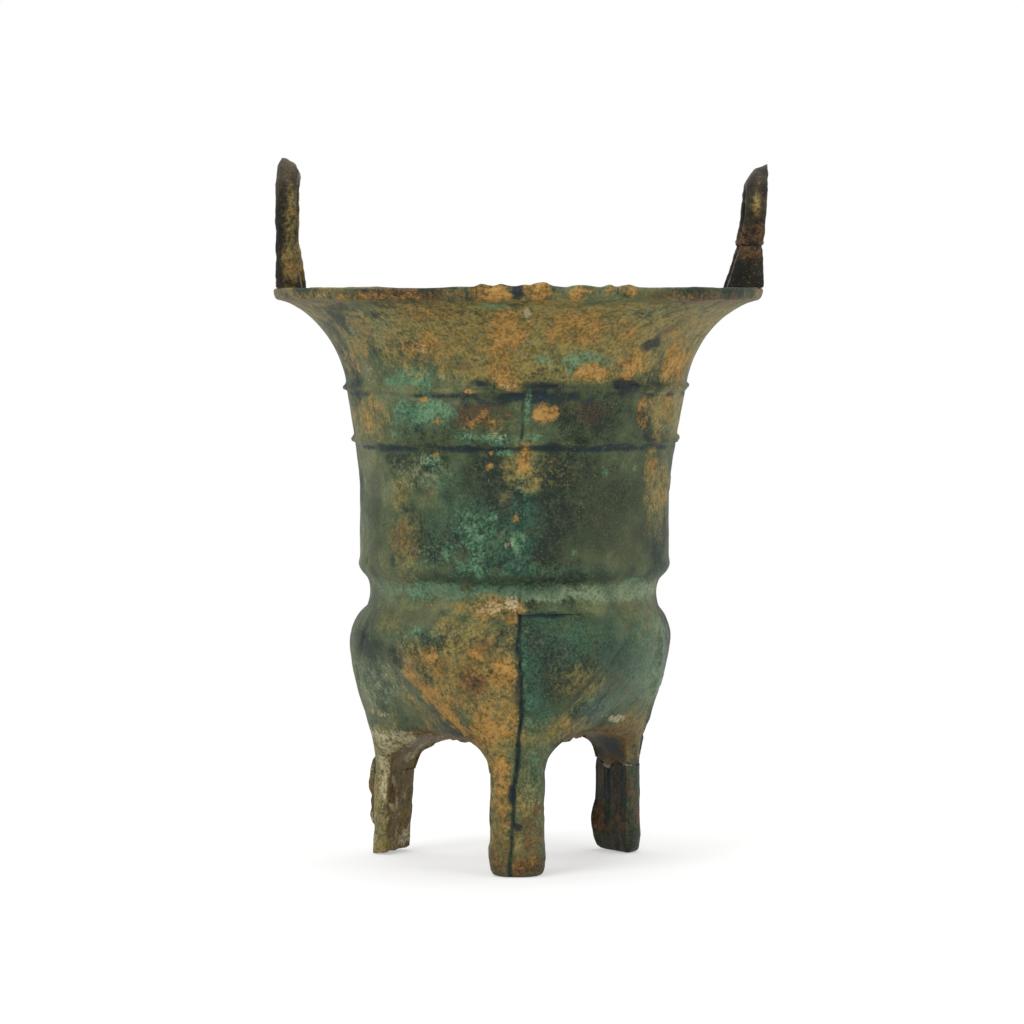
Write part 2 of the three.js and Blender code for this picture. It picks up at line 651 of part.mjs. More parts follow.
stand.add(turned(legAngle(REAR_LEFT), rearLeftLeg, core("rear_left_leg_core", REAR_LEFT)));
group.add(stand);

const waist = new THREE.Group();
waist.position.x = leanAt(GRATE_Z);
waist.add(piece("hinge_staple", geometryOf(stapleSolid(blank)), 0x4b5240, 0.7, 0.35));
REST_ANGLES.forEach((bearing, i) => {
  const rest = piece(`grate_rest_${i + 1}`, geometryOf(restSolid(blank)), 0x4b5240, 0.7, 0.35);
  waist.add(turned(bearing, rest));
});
const grate = piece("grate_plate", geometryOf(grateSolid()), 0x59624a, 0.7, 0.35);
const loop = piece("grate_lifting_loop", loopGeometry(), 0x59624a, 0.65, 0.4);
grate.position.z = GRATE_Z;
loop.position.set(0, LOOP_INSET - grateRadius, GRATE_Z + GRATE_THICKNESS / 2);
waist.add(grate, loop);
group.add(waist);

export default group;
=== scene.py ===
"""Looks of the bronze yan steamer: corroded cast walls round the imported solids. Lengths are in mm."""

import math

import bmesh
import bpy
import numpy as np
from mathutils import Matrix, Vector


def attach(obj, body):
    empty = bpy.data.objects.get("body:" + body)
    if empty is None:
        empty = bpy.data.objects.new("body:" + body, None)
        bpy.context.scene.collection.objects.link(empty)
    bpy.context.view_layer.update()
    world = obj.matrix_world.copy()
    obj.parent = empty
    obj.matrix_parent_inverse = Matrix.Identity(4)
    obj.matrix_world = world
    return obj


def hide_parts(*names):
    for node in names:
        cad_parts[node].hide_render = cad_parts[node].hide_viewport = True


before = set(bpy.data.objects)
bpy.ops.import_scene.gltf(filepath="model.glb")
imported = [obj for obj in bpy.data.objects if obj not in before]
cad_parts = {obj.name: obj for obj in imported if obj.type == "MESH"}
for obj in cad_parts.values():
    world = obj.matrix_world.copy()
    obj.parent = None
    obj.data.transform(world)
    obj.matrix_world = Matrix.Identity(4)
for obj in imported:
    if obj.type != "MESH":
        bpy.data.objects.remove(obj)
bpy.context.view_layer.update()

MM = 0.001

# The vessel's own sizes, as in the solids
WALL = 3.2
LEAN = 5.3
RIM_Z = 326.6
JOINT_Z = 146.0
JOINT_RADIUS = 83.0
WAIST_RADIUS = 81.5
WAIST_Z = 154.0
DRUM_RADIUS = 88.0
DRUM_LOW = 171.0
DRUM_HIGH = 207.0
NECK_RADIUS = 97.2
NECK_Z = 274.2
RIM_RADIUS = 139.1
LIP_Z = 319.8
LIP_ROUND = 4.3
LIP_WIDTH = 6.0
LIP_EDGE = 1.6
BANDS = (270.2, 240.5)
BAND_PROUD = 2.1
CROTCH_Z = 75.5
BELLY_HEIGHT = 70.5
BELLY_SHARES = (0.0, 0.35, 0.7, 0.89, 1.0)
LOBE_RADII = (85.2, 93.0, 95.8, 91.0, 83.0)
CLEFT_RADII = (50.0, 72.0, 84.8, 86.0, 83.0)
VAULT_RISE = 2.0
CLEFT_SAG = 2.0
LEG_HEIGHT = 58.5
LEG_DROPS = (1.5, 5.0, 11.0)
ROOT_RADIUS = 17.0
LEG_INNER = 70.0
LEG_OUTER = 85.4
LEG_HALF_WIDTH = 15.0
FOOT_ROUND = 4.0
FOOT_FLARE = 1.1
LEG_BEARINGS = (-86.7, 33.3, 153.3)
STAND_SHIFT = -4.35
SOLE_TILT = 11.0
BROKEN_SPLAY = 2.5
BROKEN_TAPER = 0.6
TOE_REST = 3.0
SEAM_BEARINGS = (-88.0, 32.0, 152.0)
POT_CHAPLETS = (-136.6, -121.0, -16.6, -1.0, 103.4, 119.0)
POT_CHAPLET_Z = 215.5
BOILER_CHAPLETS = (-109.0, 11.0, 131.0)
BOILER_CHAPLET_Z = 102.0
HANDLE_WIDTH = 64.0
HANDLE_BAR = 13.0
HANDLE_ARCH = 24.0
HANDLE_FOOT = 17.0
LEFT_RISE = 73.4
LEFT_OUTER = ((0, 2.7), (66, 2.7), (71, 2.9), (73.4, 4.2))
LEFT_INNER = ((0, 17.4), (25, 12.8), (52, 13.9), (66, 14.8), (71.5, 12), (73.4, 8.4))
RIGHT_RISE = 70.0
RIGHT_CRACK = 24.5
RIGHT_OUTER = ((0, 1.2), (25, 1.7), (42, -0.6), (60, -1.1), (70, -3))
RIGHT_INNER = ((0, 21.2), (21, 14.5), (40, 11.1), (58, 9.8), (63, 7.6), (67.3, 4.4), (70, -1.4))

# Places of the legs in LEG_BEARINGS and LEG_DROPS
FRONT_LEG, RIGHT_LEG, LEFT_LEG = 0, 1, 2

# Sizes that only the looks have
HANDLE_CHAMFER = 0.22
HANDLE_BEDDING = 1.4
CHAPLET_REACH = 4.2
CHAPLET_BELLY_RADIUS = 92.0
VAULT_RADIUS = 53.0
RAGGED_RING = 35.0
BREAK_LOW = 30.0
FILL_SPAN = (-6.5, 1.0)
RIDGE_Z = 54.0
CREASE_Z = 64.0
ROOT_LIMIT = 32
EDGE_TUCK = 4.0
EDGE_HEIGHT = 6.0
STAIN_DRIFT = 6.0
BAND_SHADOW_DROP = 3.2

# Marks that run up or down a face: their middle across it and how wide they are
LEFT_FLASH_PLACE = (4.0, 1.4)
LEFT_DARK_LINE = (6.7, 1.0)
RIGHT_RIB = (3.0, 0.8)
RIGHT_GROOVE = (5.2, 0.9)
CHAPLET_DENT = (0.0, 1.9)
CHAPLET_DENT_RIM = (3.6, 1.2)
CHAPLET_PIT = (0.0, 1.7)
CHAPLET_RING = (2.6, 1.2)

# Seams, flash, the break and the foot's flare: places along each, and how far it wanders or stands out there
SEAM_WANDER = ((1, -3.2), (8, -3.6), (17, -2.9), (24, -2.3), (34, -1.6), (38, -1.9), (48, -2.3), (55, -1.0),
               (62, -0.2), (69, 0.3), (80, 0.3), (94, 1.6), (104, 0.8), (125, 0.0))
LEFT_FLASH = ((15, 0), (18, 2.2), (22, 3.4), (26, 2.6), (30, 3.0), (33, 2.2), (37, 4.2), (41, 4.6), (44, 4.0),
              (48, 3.8), (51, 3.0), (54, 2.2), (57, 0))
RIGHT_FLASH = ((2, 0.2), (5, 1.2), (9, 2.8), (13, 4.4), (18, 4.6), (22, 4.0), (26, 2.6), (29, 1.2), (36, 0.9),
               (46, 0.6))
BREAK_LINE = ((-15, -1.4), (-11, -2.2), (-7, -0.9), (-2, -2.2), (3, -3.4), (8, -1.8), (15, 0.4))
FOOT_LINE = ((FOOT_ROUND, 0), (10, 1), (22, 0))

# Spans over which one form or look gives way to the next: heights first, then places across a lobe or a leg,
# then degrees off a leg's middle
FLARE_FADE = (262, 300)
DRUM_FADES = (165, 180), (268, 240)
BELLY_FADE = (140, 90)
LIP_FADE = (316, 322)
NECK_FADES = (238, 245), (280, 265)
RIDGE_FADES = (-1.0, 1.5), (34, 8)
STRIP_EDGE = (7.4, 9.0)
FLAT_EDGE = (LEG_INNER + 1.5, LEG_INNER + 0.3)
LEFT_FLASH_EDGE = (78, 81)
BAND_EDGE = (2.3, 0.7)
LIP_SWELL = (-46, -28), (74, 52)
ROOT_TO_BELLY = (5, 28)
ROOT_SIDES = (25, 38)
FILLET_SIDES = (24, 42)
VAULT_SIDES = (33, 27)

# Seeds of the noise that more than one piece shares
STAIN_SEED = 7
POT_SEED = 100
BOILER_SEED = 300

# Rows and columns of the meshes. The boiler's rows go down its wall, in under it and up its inside
POT_COLUMNS = (252, 120)
SEAM_COLUMNS = (-2.0, 2.6, 12)
LEAST_TURN = 0.12
OUTSIDE_STEP = 1.3
INSIDE_STEP = 3.4
ARC_COLUMNS = 45
ARCH_COLUMNS = 43
WALL_ROWS = 78
LIP_ROWS = 2
SOFFIT_ROWS = 14
VAULT_ROWS = 13
OUTER_ROWS = WALL_ROWS + LIP_ROWS + SOFFIT_ROWS + VAULT_ROWS
INNER_FLOOR_ROWS = 10
INNER_WALL_ROWS = 23
FOOT_ROWS = 6
SHAFT_ROWS = 56
FILL_ROWS = 16
HANDLE_STEP = 1.1
SECTION_STEP = 0.09
ARCH_POINTS = 60
CHAPLET_ROWS = 9
CHAPLET_COLUMNS = 28
SHARP = 50.0
FLAKE_SHARP = 35.0
MERGE = 0.00002
SLIVER = 0.000005
WEAR_FACTOR = 0.5
WEAR_STEPS = 4

# Camera and light, in metres
EYE = (-0.0034, -2.655, 0.3266)
AIM = (-0.0034, 0.0, 0.199)
SENSOR_MM = 36.0
FOCAL_MM = 163.9
LAMP_AIM = (0, 0, 0.2)
LAMPS = (
    ("key", (-1.3, -1.5, 1.7), 1.2, 22),
    ("fill", (1.6, -1.3, 1.0), 1.2, 10),
    ("top", (0.1, 0.4, 1.9), 1.4, 14),
)
FLOOR_SIZE = 8.0
FLOOR_GREY = (0.7, 0.7, 0.7, 1)
FLOOR_GLOW = 0.39
FLOOR_FADE = (0.2, 0.75)
SKY_LIGHT = 0.62

# Stains on the side that faces the camera, with some painted shadows, shade and glints among them, marked
# below: x, z, half width, half height, amount and, if any, tilt in degrees
FRONT_STAINS_AND_PAINTED_LIGHT = {
    "ochre": [
        (-16, 323, 12, 4, 0.95), (13, 324, 10, 4, 0.95), (34, 324, 9, 3, 0.95), (49, 324, 4, 3, 0.9),
        (60, 324, 6, 3, 0.9), (-65, 322, 33, 3, 0.5), (95, 322, 22, 3, 0.4), (-95, 321, 8, 3, 0.7),
        (-47, 313, 19, 4, 0.6), (-10, 295, 13, 19, 0.75), (-51, 290, 24, 14, 0.45), (-57, 295, 11, 4, 0.7),
        (37, 305, 33, 12, 0.7), (40, 280, 11, 5, 0.95), (63, 285, 9, 8, 0.9), (87, 288, 9, 15, 0.85),
        (-87, 295, 11, 14, 0.45), (-6, 273, 7, 3, 0.95), (-39, 271, 3, 2, 0.9), (-24, 270, 8, 2, 0.85),
        (-53, 265, 4, 2, 0.9), (-45, 253, 3, 3, 0.9), (-15, 252, 11, 7, 0.7), (14, 256, 8, 8, 0.95),
        (69, 256, 3, 12, 0.65), (85, 257, 4, 13, 0.55), (-81, 257, 8, 11, 0.5), (-46, 235, 3, 2, 0.9),
        (-15, 236, 2, 2, 0.9), (-16, 228, 2, 2, 0.8), (2, 228, 3, 7, 0.9), (4, 231, 4, 10, 0.85),
        (-1, 200, 3, 5, 0.8), (-63, 190, 4, 13, 0.35), (-72, 170, 2, 2, 0.9), (-58, 229, 14, 9, 0.35),
        (77, 225, 4, 8, 0.6), (81, 208, 2, 6, 0.5), (19, 226, 12, 11, 0.35), (-48, 151, 8, 2, 0.6),
        (-18, 149, 17, 6, 0.85), (-47, 125, 6, 10, 0.85), (-25, 124, 5, 3, 0.9), (-8, 115, 7, 6, 0.9),
        (-26, 106, 26, 28, 0.45), (-46, 98, 21, 5, 0.7, -42), (-20, 80, 20, 13, 0.75), (9, 151, 3, 2, 0.85),
        (7, 116, 4, 4, 0.8), (36, 114, 9, 6, 0.22), (24, 83, 9, 4, 0.45), (62, 73, 5, 12, 0.35),
        (-9, 62, 6, 14, 0.85), (-10, 34, 6, 12, 0.6), (-8, 8, 9, 5, 0.7), (7, 8, 6, 5, 0.5),
        (6, 34, 5, 11, 0.4), (-66, 45, 8, 28, 0.6), (134, 385, 4, 4, 0.4), (132, 374, 4, 7, 0.45),
        (-128, 341, 5, 9, 0.5), (-127, 369, 4, 5, 0.4), (-127, 388, 4, 5, 0.35),
    ],
    "green": [
        (-11, 317, 14, 2, 0.8), (51, 320, 30, 2, 0.7), (-58, 277, 16, 7, 0.85), (-69, 276, 4, 3, 0.95),
        (32, 287, 23, 7, 0.85), (28, 282, 2, 2, 1), (-74, 307, 9, 4, 0.5), (67, 313, 28, 4, 0.5, 11),
        (-53, 258, 14, 9, 1), (-62, 246, 11, 2, 0.5), (-18, 245, 15, 4, 0.8), (9, 245, 8, 3, 0.6),
        (5, 260, 3, 14, 0.6), (-48, 231, 7, 6, 0.8), (-26, 191, 13, 16, 0.6), (-14, 201, 2, 2, 1),
        (-21, 169, 2, 3, 1), (-7, 236, 6, 2, 0.95), (49, 225, 3, 4, 0.9), (65, 226, 2, 4, 0.8),
        (31, 180, 3, 3, 0.8), (0, 186, 4, 6, 0.85), (-43, 177, 33, 11, 0.35), (63, 163, 9, 2, 0.8),
        (-54, 157, 22, 8, 0.5), (23, 156, 22, 7, 0.4), (-55, 137, 11, 4, 0.8), (23, 128, 22, 16, 0.25),
        (45, 92, 14, 7, 0.5), (78, 133, 16, 14, 0.3), (8, 66, 4, 5, 0.85), (7, 50, 5, 11, 0.4),
    ],
    "navy": [
        (-1, 324, 4, 4, 1), (-20, 274, 8, 3, 0.9), (76, 295, 9, 4, 0.8), (85, 305, 21, 3, 0.6, 35),
        (59, 273, 11, 4, 1), (15, 273, 16, 3, 0.9), (-50, 247, 9, 4, 0.8), (-21, 258, 19, 8, 0.55),
        (11, 257, 10, 14, 0.55), (43, 257, 21, 11, 0.6), (-15, 221, 14, 14, 0.3), (-50, 214, 2, 2, 0.8),
        (-70, 174, 2, 5, 0.8), (-32, 284, 9, 3, 0.6), (-22, 109, 7, 6, 0.6), (-58, 144, 18, 5, 0.4),
        (52, 62, 8, 6, 0.5), (-3, 47.5, 2.2, 5, 1), (-0.8, 29.4, 2.8, 2, 1, -20),
        (0.8, 27.8, 2.4, 1.7, 1, 35), (24, 324, 1, 3, 0.8), (44, 324, 1, 3, 0.8), (54, 324, 1, 3, 0.8),
        (84, 322, 19, 3, 0.5), (-43, 322, 8, 3, 0.5), (-133, 375, 3, 18, 0.9), (-134, 340, 2, 20, 0.5),
        (125, 368, 3, 36, 0.7, 8), (131, 363, 7, 4, 0.6), (138, 380, 2, 14, 0.6), (52, 45, 13, 28, 0.6),
        # The row at x 38, z 107, tilted 46 degrees, is painted shade in the crease between two lobes. The
        # long thin rows at z 267 to 272 and 237 to 239 lie along the bands: partly navy crust, partly painted
        # shadow under the band ridges. The row at x 16, z 146 is painted shadow under the pot's lower edge,
        # where it overhangs the boiler. The row at x 0, z 105 is the front seam's dark line, partly dirt and
        # partly painted shade.
        (38, 107, 15, 2, 0.7, 46), (20, 267, 46, 4, 0.8), (-30, 268, 20, 4, 0.85), (-6, 267, 9, 4, 0.85),
        (38, 272, 20, 3, 0.6), (-24, 238, 42, 2.5, 0.9), (-66, 237, 20, 2.5, 0.7), (46, 239, 40, 2.5, 0.75),
        (16, 146, 15, 2, 0.8), (-70, 160, 14, 3, 0.5), (0, 105, 2, 9, 0.8),
    ],
    "pale": [
        (5, 313, 2, 3, 1), (5, 295, 1, 14, 0.5), (-57, 295, 10, 3, 0.6, -25), (-106, 322, 10, 3, 0.45),
        (-81, 280, 7, 7, 0.5), (-39, 271, 3, 1, 0.8), (-24, 270, 8, 1, 0.7), (-6, 273, 6, 2, 0.6),
        (23, 273, 6, 2, 0.5), (-15, 245, 14, 3, 0.5), (-48, 231, 7, 6, 0.4), (-6, 185, 3, 2, 0.7),
        # The rows at x 54, z 82 and x 50, z 85 are painted glints on the root of the rear right leg.
        (-4, 154, 3, 3, 0.6), (-73, 66, 9, 10, 0.9), (-79, 84, 7, 4, 0.7, -20), (54, 82, 6, 3, 0.95),
        (50, 85, 4, 2, 0.8), (70, 104, 9, 9, 0.3), (-72, 107, 20, 14, 0.3), (-18, 149, 16, 5, 0.68),
        (-68, 72, 12, 6, 0.85), (-59, 69, 8, 4, 0.75),
    ],
}

# Broad soft tints under those stains, in the same terms
FRONT_TINTS = {
    "rust": [
        (-62, 323, 62, 5, 0.75), (88, 322, 46, 5, 0.6), (-28, 113, 9, 14, 0.75), (-20, 129, 12, 6, 0.6),
        (-42, 118, 6, 9, 0.6), (-22, 108, 6, 6, 0.9), (-33, 92, 12, 5, 0.5, -40), (-20, 256, 18, 9, 0.7),
        (38, 258, 24, 10, 0.55), (0, 7, 17, 8, 0.75), (65, 70, 8, 14, 0.75), (-128, 338, 6, 13, 0.6),
        (-8, 34, 6, 20, 0.4), (-3, 143, 8, 4, 0.5), (-108, 302, 16, 8, 0.4), (-64, 188, 9, 15, 0.5),
        (10, 22, 6, 10, 0.5),
    ],
    "wash": [
        (0, 303, 135, 24, 0.75), (-110, 322, 20, 6, 0.45), (40, 292, 70, 24, 0.6), (85, 303, 40, 14, 0.6),
        (-10, 292, 20, 26, 0.6), (-85, 256, 14, 15, 0.5), (85, 258, 11, 16, 0.8), (-64, 190, 10, 40, 0.35),
        (3, 228, 11, 20, 0.55), (78, 214, 8, 26, 0.55), (-18, 149, 22, 7, 0.65), (-68, 138, 20, 9, 0.22),
        (-32, 112, 34, 36, 0.7), (-12, 80, 17, 20, 0.75), (36, 108, 16, 16, 0.35), (25, 83, 18, 9, 0.45),
        (-9, 40, 9, 46, 0.58), (7, 40, 8, 46, 0.4), (-68, 45, 13, 36, 0.55), (-128, 360, 6, 38, 0.4),
        (-127, 340, 7, 12, 0.6), (132, 376, 6, 11, 0.5), (66, 70, 10, 16, 0.85),
    ],
    "deep": [
        (40, 257, 30, 13, 0.75), (-18, 258, 19, 12, 0.55), (44, 200, 60, 44, 0.7), (-15, 218, 20, 20, 0.8),
        # The row at x 0, z 166 is painted shadow under the drum's lower edge.
        (-44, 186, 34, 24, 0.4), (0, 166, 95, 4, 0.6), (40, 116, 38, 27, 0.5), (14, 118, 14, 26, 0.55),
        (-46, 286, 22, 7, 0.4), (-80, 200, 5, 34, 0.5), (-58, 142, 24, 7, 0.5), (52, 40, 17, 42, 0.75),
        (88, 322, 28, 4, 0.7), (52, 62, 10, 7, 0.6), (-133, 365, 4, 42, 0.5), (124, 362, 5, 42, 0.7),
        (131, 355, 9, 14, 0.5),
    ],
    "teal": [
        (-20, 196, 32, 36, 0.7), (4, 205, 9, 42, 0.75), (20, 168, 75, 7, 0.6), (26, 130, 28, 20, 0.7),
        (62, 118, 30, 26, 0.55), (-52, 134, 27, 9, 0.55), (-55, 256, 21, 14, 0.65), (-56, 280, 23, 9, 0.55),
        (35, 288, 32, 10, 0.75), (8, 56, 7, 26, 0.7), (46, 92, 19, 10, 0.6), (-50, 157, 38, 8, 0.6),
        (10, 255, 10, 16, 0.5), (-10, 243, 22, 5, 0.6), (60, 45, 5, 24, 0.4),
    ],
    "light": [
        (45, 157, 56, 6, 0.95), (-50, 158, 38, 6, 0.8), (-78, 103, 20, 20, 0.42), (80, 113, 18, 28, 0.6),
        (-80, 302, 30, 16, 0.6), (38, 288, 40, 10, 0.45), (75, 308, 40, 9, 0.5), (9, 299, 7, 18, 0.6),
        (-53, 258, 17, 12, 0.55), (-56, 226, 22, 14, 0.35), (70, 104, 12, 10, 0.4), (-80, 60, 4, 30, 0.5),
    ],
}
STAIN_SOFT = 1.5


# Numbers

def smooth(low, high, value):
    """0 up to low, 1 from high on, smooth between. High may be the smaller one."""
    share = np.clip((value - low) / (high - low), 0.0, 1.0)
    return share * share * (3.0 - 2.0 * share)


def within(value, first, last):
    """Rises over the first span of values and falls over the last, which is written from high to low."""
    return smooth(*first, value) * smooth(*last, value)


def bell(value, middle, width):
    """1 in the middle, falling off over the width."""
    return np.exp(-((value - middle) / width) ** 2)


def follow(line, place):
    """Reads a line of points: its second value at a place along the first."""
    points = np.array(line, float)
    return np.interp(place, points[:, 0], points[:, 1])


def lattice(cell, seed):
    """One number from 0 to 1 for each whole-number cell."""
    whole = cell.astype(np.int64) & 0xFFFFFFFF
    mixed = (whole[..., 0] * 0x8DA6B343) ^ (whole[..., 1] * 0xD8163841) ^ (whole[..., 2] * 0xCB1AB31F)
    mixed = (mixed ^ (seed * 0x9E3779B1)) & 0xFFFFFFFF
    mixed = ((mixed ^ (mixed >> 15)) * 0x2C1B3C6D) & 0xFFFFFFFF
    mixed = ((mixed ^ (mixed >> 12)) * 0x297A2D39) & 0xFFFFFFFF
    return (mixed ^ (mixed >> 15)) / 4294967295.0


def single_noise(points, seed):
    cell = np.floor(points)
    part = points - cell
    blend = part * part * (3.0 - 2.0 * part)
    total = 0.0
    for corner in np.ndindex(2, 2, 2):
        weight = np.ones(points.shape[:-1])
        for axis in range(3):
            share = blend[..., axis]
            weight = weight * (share if corner[axis] else 1.0 - share)
        total = total + weight * lattice(cell + np.array(corner), seed)
    return 2.0 * total - 1.0


def noise(points, size, seed, octaves=3):
    """Layered noise, about -1 to 1, whose largest lumps are as wide as size."""
    total = 0.0
    for octave in range(octaves):
        gain = 0.5 ** octave
        total = total + gain * single_noise(points * (2.0 ** octave / size) + 31.7 * octave, seed + octave)
    return total * 1.2


def tall(points, share):
    """Points with their heights scaled, so that noise over them is drawn out upwards."""
    return points * np.array([1.0, 1.0, share])


def quadratic(start, pull, end, count=24):
    t = np.linspace(0, 1, count)[:, None]
    start, pull, end = (np.array(p, float) for p in (start, pull, end))
    return (1 - t) ** 2 * start + 2 * t * (1 - t) * pull + t * t * end


def cubic(start, first, second, end, count=40):
    t = np.linspace(0, 1, count)[:, None]
    start, first, second, end = (np.array(p, float) for p in (start, first, second, end))
    return (1 - t) ** 3 * start + 3 * t * (1 - t) ** 2 * first + 3 * t * t * (1 - t) * second + t ** 3 * end


def spaced(line, step):
    """The same line, with points about step apart."""
    along = np.concatenate([[0], np.cumsum(np.linalg.norm(np.diff(line, axis=0), axis=1))])
    count = max(2, int(round(along[-1] / step)) + 1)
    places = np.linspace(0, along[-1], count)
    return np.stack([np.interp(places, along, line[:, k]) for k in range(line.shape[1])], axis=1)


def spline(values, count=12):
    """Values at the belly's shares of height, joined by a smooth curve: rows of value, share."""
    points = np.stack([np.array(values), np.array(BELLY_SHARES)], axis=1)
    padded = np.concatenate([points[:1], points, points[-1:]])
    t = np.linspace(0, 1, count)[:, None]
    pieces = []
    for k in range(len(points) - 1):
        a, b, c, d = padded[k:k + 4]
        bent = 2 * b + (c - a) * t + (2 * a - 5 * b + 4 * c - d) * t ** 2 + (3 * b - a - 3 * c + d) * t ** 3
        pieces.append(0.5 * bent)
    return np.concatenate(pieces)


def lean_at(z):
    """How far the casting leans to the side at a height."""
    return -LEAN * (1.0 - z / RIM_Z)


def turn_from(angle, mark):
    """Degrees from mark to angle, from -180 to 180."""
    return (angle - mark + 180.0) % 360.0 - 180.0


def around(radius, turn, z):
    """Points round the casting's leaning axis, at a turn in radians."""
    return np.stack([radius * np.cos(turn) + lean_at(z), radius * np.sin(turn), z + 0 * turn], axis=-1)


# Meshes

def grid_normals(grid, wrap_rows):
    """Normals of a grid that closes on itself across its columns, and along its rows if they wrap."""
    across = np.roll(grid, -1, 1) - np.roll(grid, 1, 1)
    along = np.roll(grid, -1, 0) - np.roll(grid, 1, 0) if wrap_rows else np.gradient(grid, axis=0)
    normal = np.cross(across, along)
    return normal / np.maximum(np.linalg.norm(normal, axis=-1, keepdims=True), 1e-9)


def grid_faces(rows, columns, wrap_rows):
    i, j = np.meshgrid(np.arange(rows if wrap_rows else rows - 1), np.arange(columns), indexing="ij")
    after_i, after_j = (i + 1) % rows, (j + 1) % columns
    corners = [i * columns + j, i * columns + after_j, after_i * columns + after_j, after_i * columns + j]
    return np.stack(corners, axis=-1).reshape(-1, 4)


def make_mesh(name, points, fields, slot, node, faces=None, body="vessel", sharp=SHARP):
    """A piece with its layers of corrosion, which rides on a body in place of a solid. Where no faces are
    given, the points are the rows of a column."""
    if faces is None:
        faces = grid_faces(*points.shape[:2], False)
    mesh = bpy.data.meshes.new(name)
    mesh.from_pydata((points.reshape(-1, 3) * MM).tolist(), [], faces.tolist())
    for layer, values in fields.items():
        attribute = mesh.attributes.new(layer, "FLOAT", "POINT")
        attribute.data.foreach_set("value", np.clip(values, 0, 1).astype(np.float32).ravel())
    work = bmesh.new()
    work.from_mesh(mesh)
    bmesh.ops.remove_doubles(work, verts=work.verts, dist=MERGE)
    bmesh.ops.dissolve_degenerate(work, edges=work.edges, dist=SLIVER)
    work.to_mesh(mesh)
    work.free()
    mesh.polygons.foreach_set("use_smooth", np.ones(len(mesh.polygons), bool))
    mesh.set_sharp_from_angle(angle=math.radians(sharp))
    mesh.materials.append(MATERIALS[slot])
    piece = bpy.data.objects.new(name, mesh)
    bpy.context.scene.collection.objects.link(piece)
    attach(piece, body)
    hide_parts(node)


# Corrosion, with some painted shade and light

def add(fields, **covers):
    """Raises each layer to at least the given cover."""
    for layer, cover in covers.items():
        fields[layer] = np.maximum(fields[layer], cover)


def fade(fields, share, *layers):
    """Takes a share of each layer's cover away."""
    for layer in layers:
        fields[layer] = fields[layer] * (1.0 - share)


def covered(points, places, wobble, hard):
    """How strongly patches cover each point. Their edges fade from hard to STAIN_SOFT, 1 being the rim."""
    x, z = points[..., 0], points[..., 2]
    bare = np.ones(points.shape[:-1])
    for at_x, at_z, wide, high, amount, *tilt in places:
        span = (STAIN_SOFT + 0.6) * max(wide, high) + 4
        near = (np.abs(x - at_x) < span) & (np.abs(z - at_z) < span)
        if not near.any():
            continue
        turn = math.radians(tilt[0]) if tilt else 0.0
        c, s = math.cos(turn), math.sin(turn)
        across, up = x[near] - at_x, z[near] - at_z
        far = np.hypot((across * c + up * s) / wide, (up * c - across * s) / high) + wobble[near]
        bare[near] *= 1.0 - amount * smooth(STAIN_SOFT, hard, far)
    return 1.0 - bare


def corrosion(points, facing, seed=STAIN_SEED):
    """Cover of each layer. The camera's side has its own stains, with some painted shadows and glints among
    them; the rest has stains of the same kind.
    """
    drift = points + STAIN_DRIFT * np.stack([noise(points, 18.0, seed + k, 2) for k in (1, 2, 3)], axis=-1)
    z = points[..., 2]
    flare, drum, belly = smooth(*FLARE_FADE, z), within(z, *DRUM_FADES), smooth(*BELLY_FADE, z)

    def clouds(size, step, low, high, octaves=3, height=1.0, shift=0.0):
        return smooth(low, high, noise(tall(drift, height), size, seed + step, octaves) + shift)

    washed = 0.5 * flare + 0.3 * belly - 0.2 * drum - 0.1
    wild = {
        "ochre": (0.45 + 0.35 * flare + 0.25 * belly) * clouds(26.0, 11, 0.15, 0.75, height=0.7),
        "green": 0.7 * clouds(21.0, 21, 0.25, 0.8),
        "navy": 0.6 * clouds(17.0, 31, 0.3, 0.75),
        "pale": 0.6 * clouds(12.0, 41, 0.5, 0.95, 2),
        "rust": 0.5 * clouds(32.0, 92, 0.25, 0.75),
        "wash": 0.8 * clouds(55.0, 52, -0.15, 0.6, 4, shift=washed),
        "deep": 0.75 * clouds(48.0, 62, -0.1, 0.6, 4, shift=0.25 * drum - 0.4 * flare),
        "light": np.maximum(0.6 * clouds(40.0, 72, 0.2, 0.75, 4), 0.8 * bell(z, WAIST_Z + 3.0, 7.0)),
        "teal": 0.7 * clouds(36.0, 82, -0.1, 0.6, 4, 0.5, -0.2 * flare),
    }
    fade(wild, 0.8 * smooth(*LIP_FADE, z), "ochre", "green", "pale")
    front = smooth(0.0, 0.16, facing)
    wobble = 0.5 * noise(points, 10.0, 71, 2)
    fields = {}
    kinds = ((FRONT_STAINS_AND_PAINTED_LIGHT, wobble, 0.35, 0.15), (FRONT_TINTS, 0.7 * wobble, 0.1, 0.1))
    for table, shake, hard, rest in kinds:
        for layer, places in table.items():
            seen = np.maximum(covered(points, places, shake, hard), rest * wild[layer])
            fields[layer] = front * seen + (1.0 - front) * wild[layer]
    fields["tone"] = 0.5 + 0.4 * noise(drift, 30.0, seed + 51, 4)
    return fields


def crust(points, fields, seed):
    """How far the corrosion stands out of the casting, or is pitted into it."""
    grain = noise(points, 5.0, seed + 61, 1)
    lump = noise(points, 11.0, seed + 62, 2)
    pits = smooth(0.5, 0.85, noise(points, 6.5, seed + 63, 1))
    raised = fields["ochre"] * (0.22 + 0.25 * grain) + fields["pale"] * (0.12 + 0.15 * grain)
    return 0.4 * noise(points, 42.0, seed + 64, 2) + 0.13 * lump + 0.05 * grain + raised - 0.3 * pits


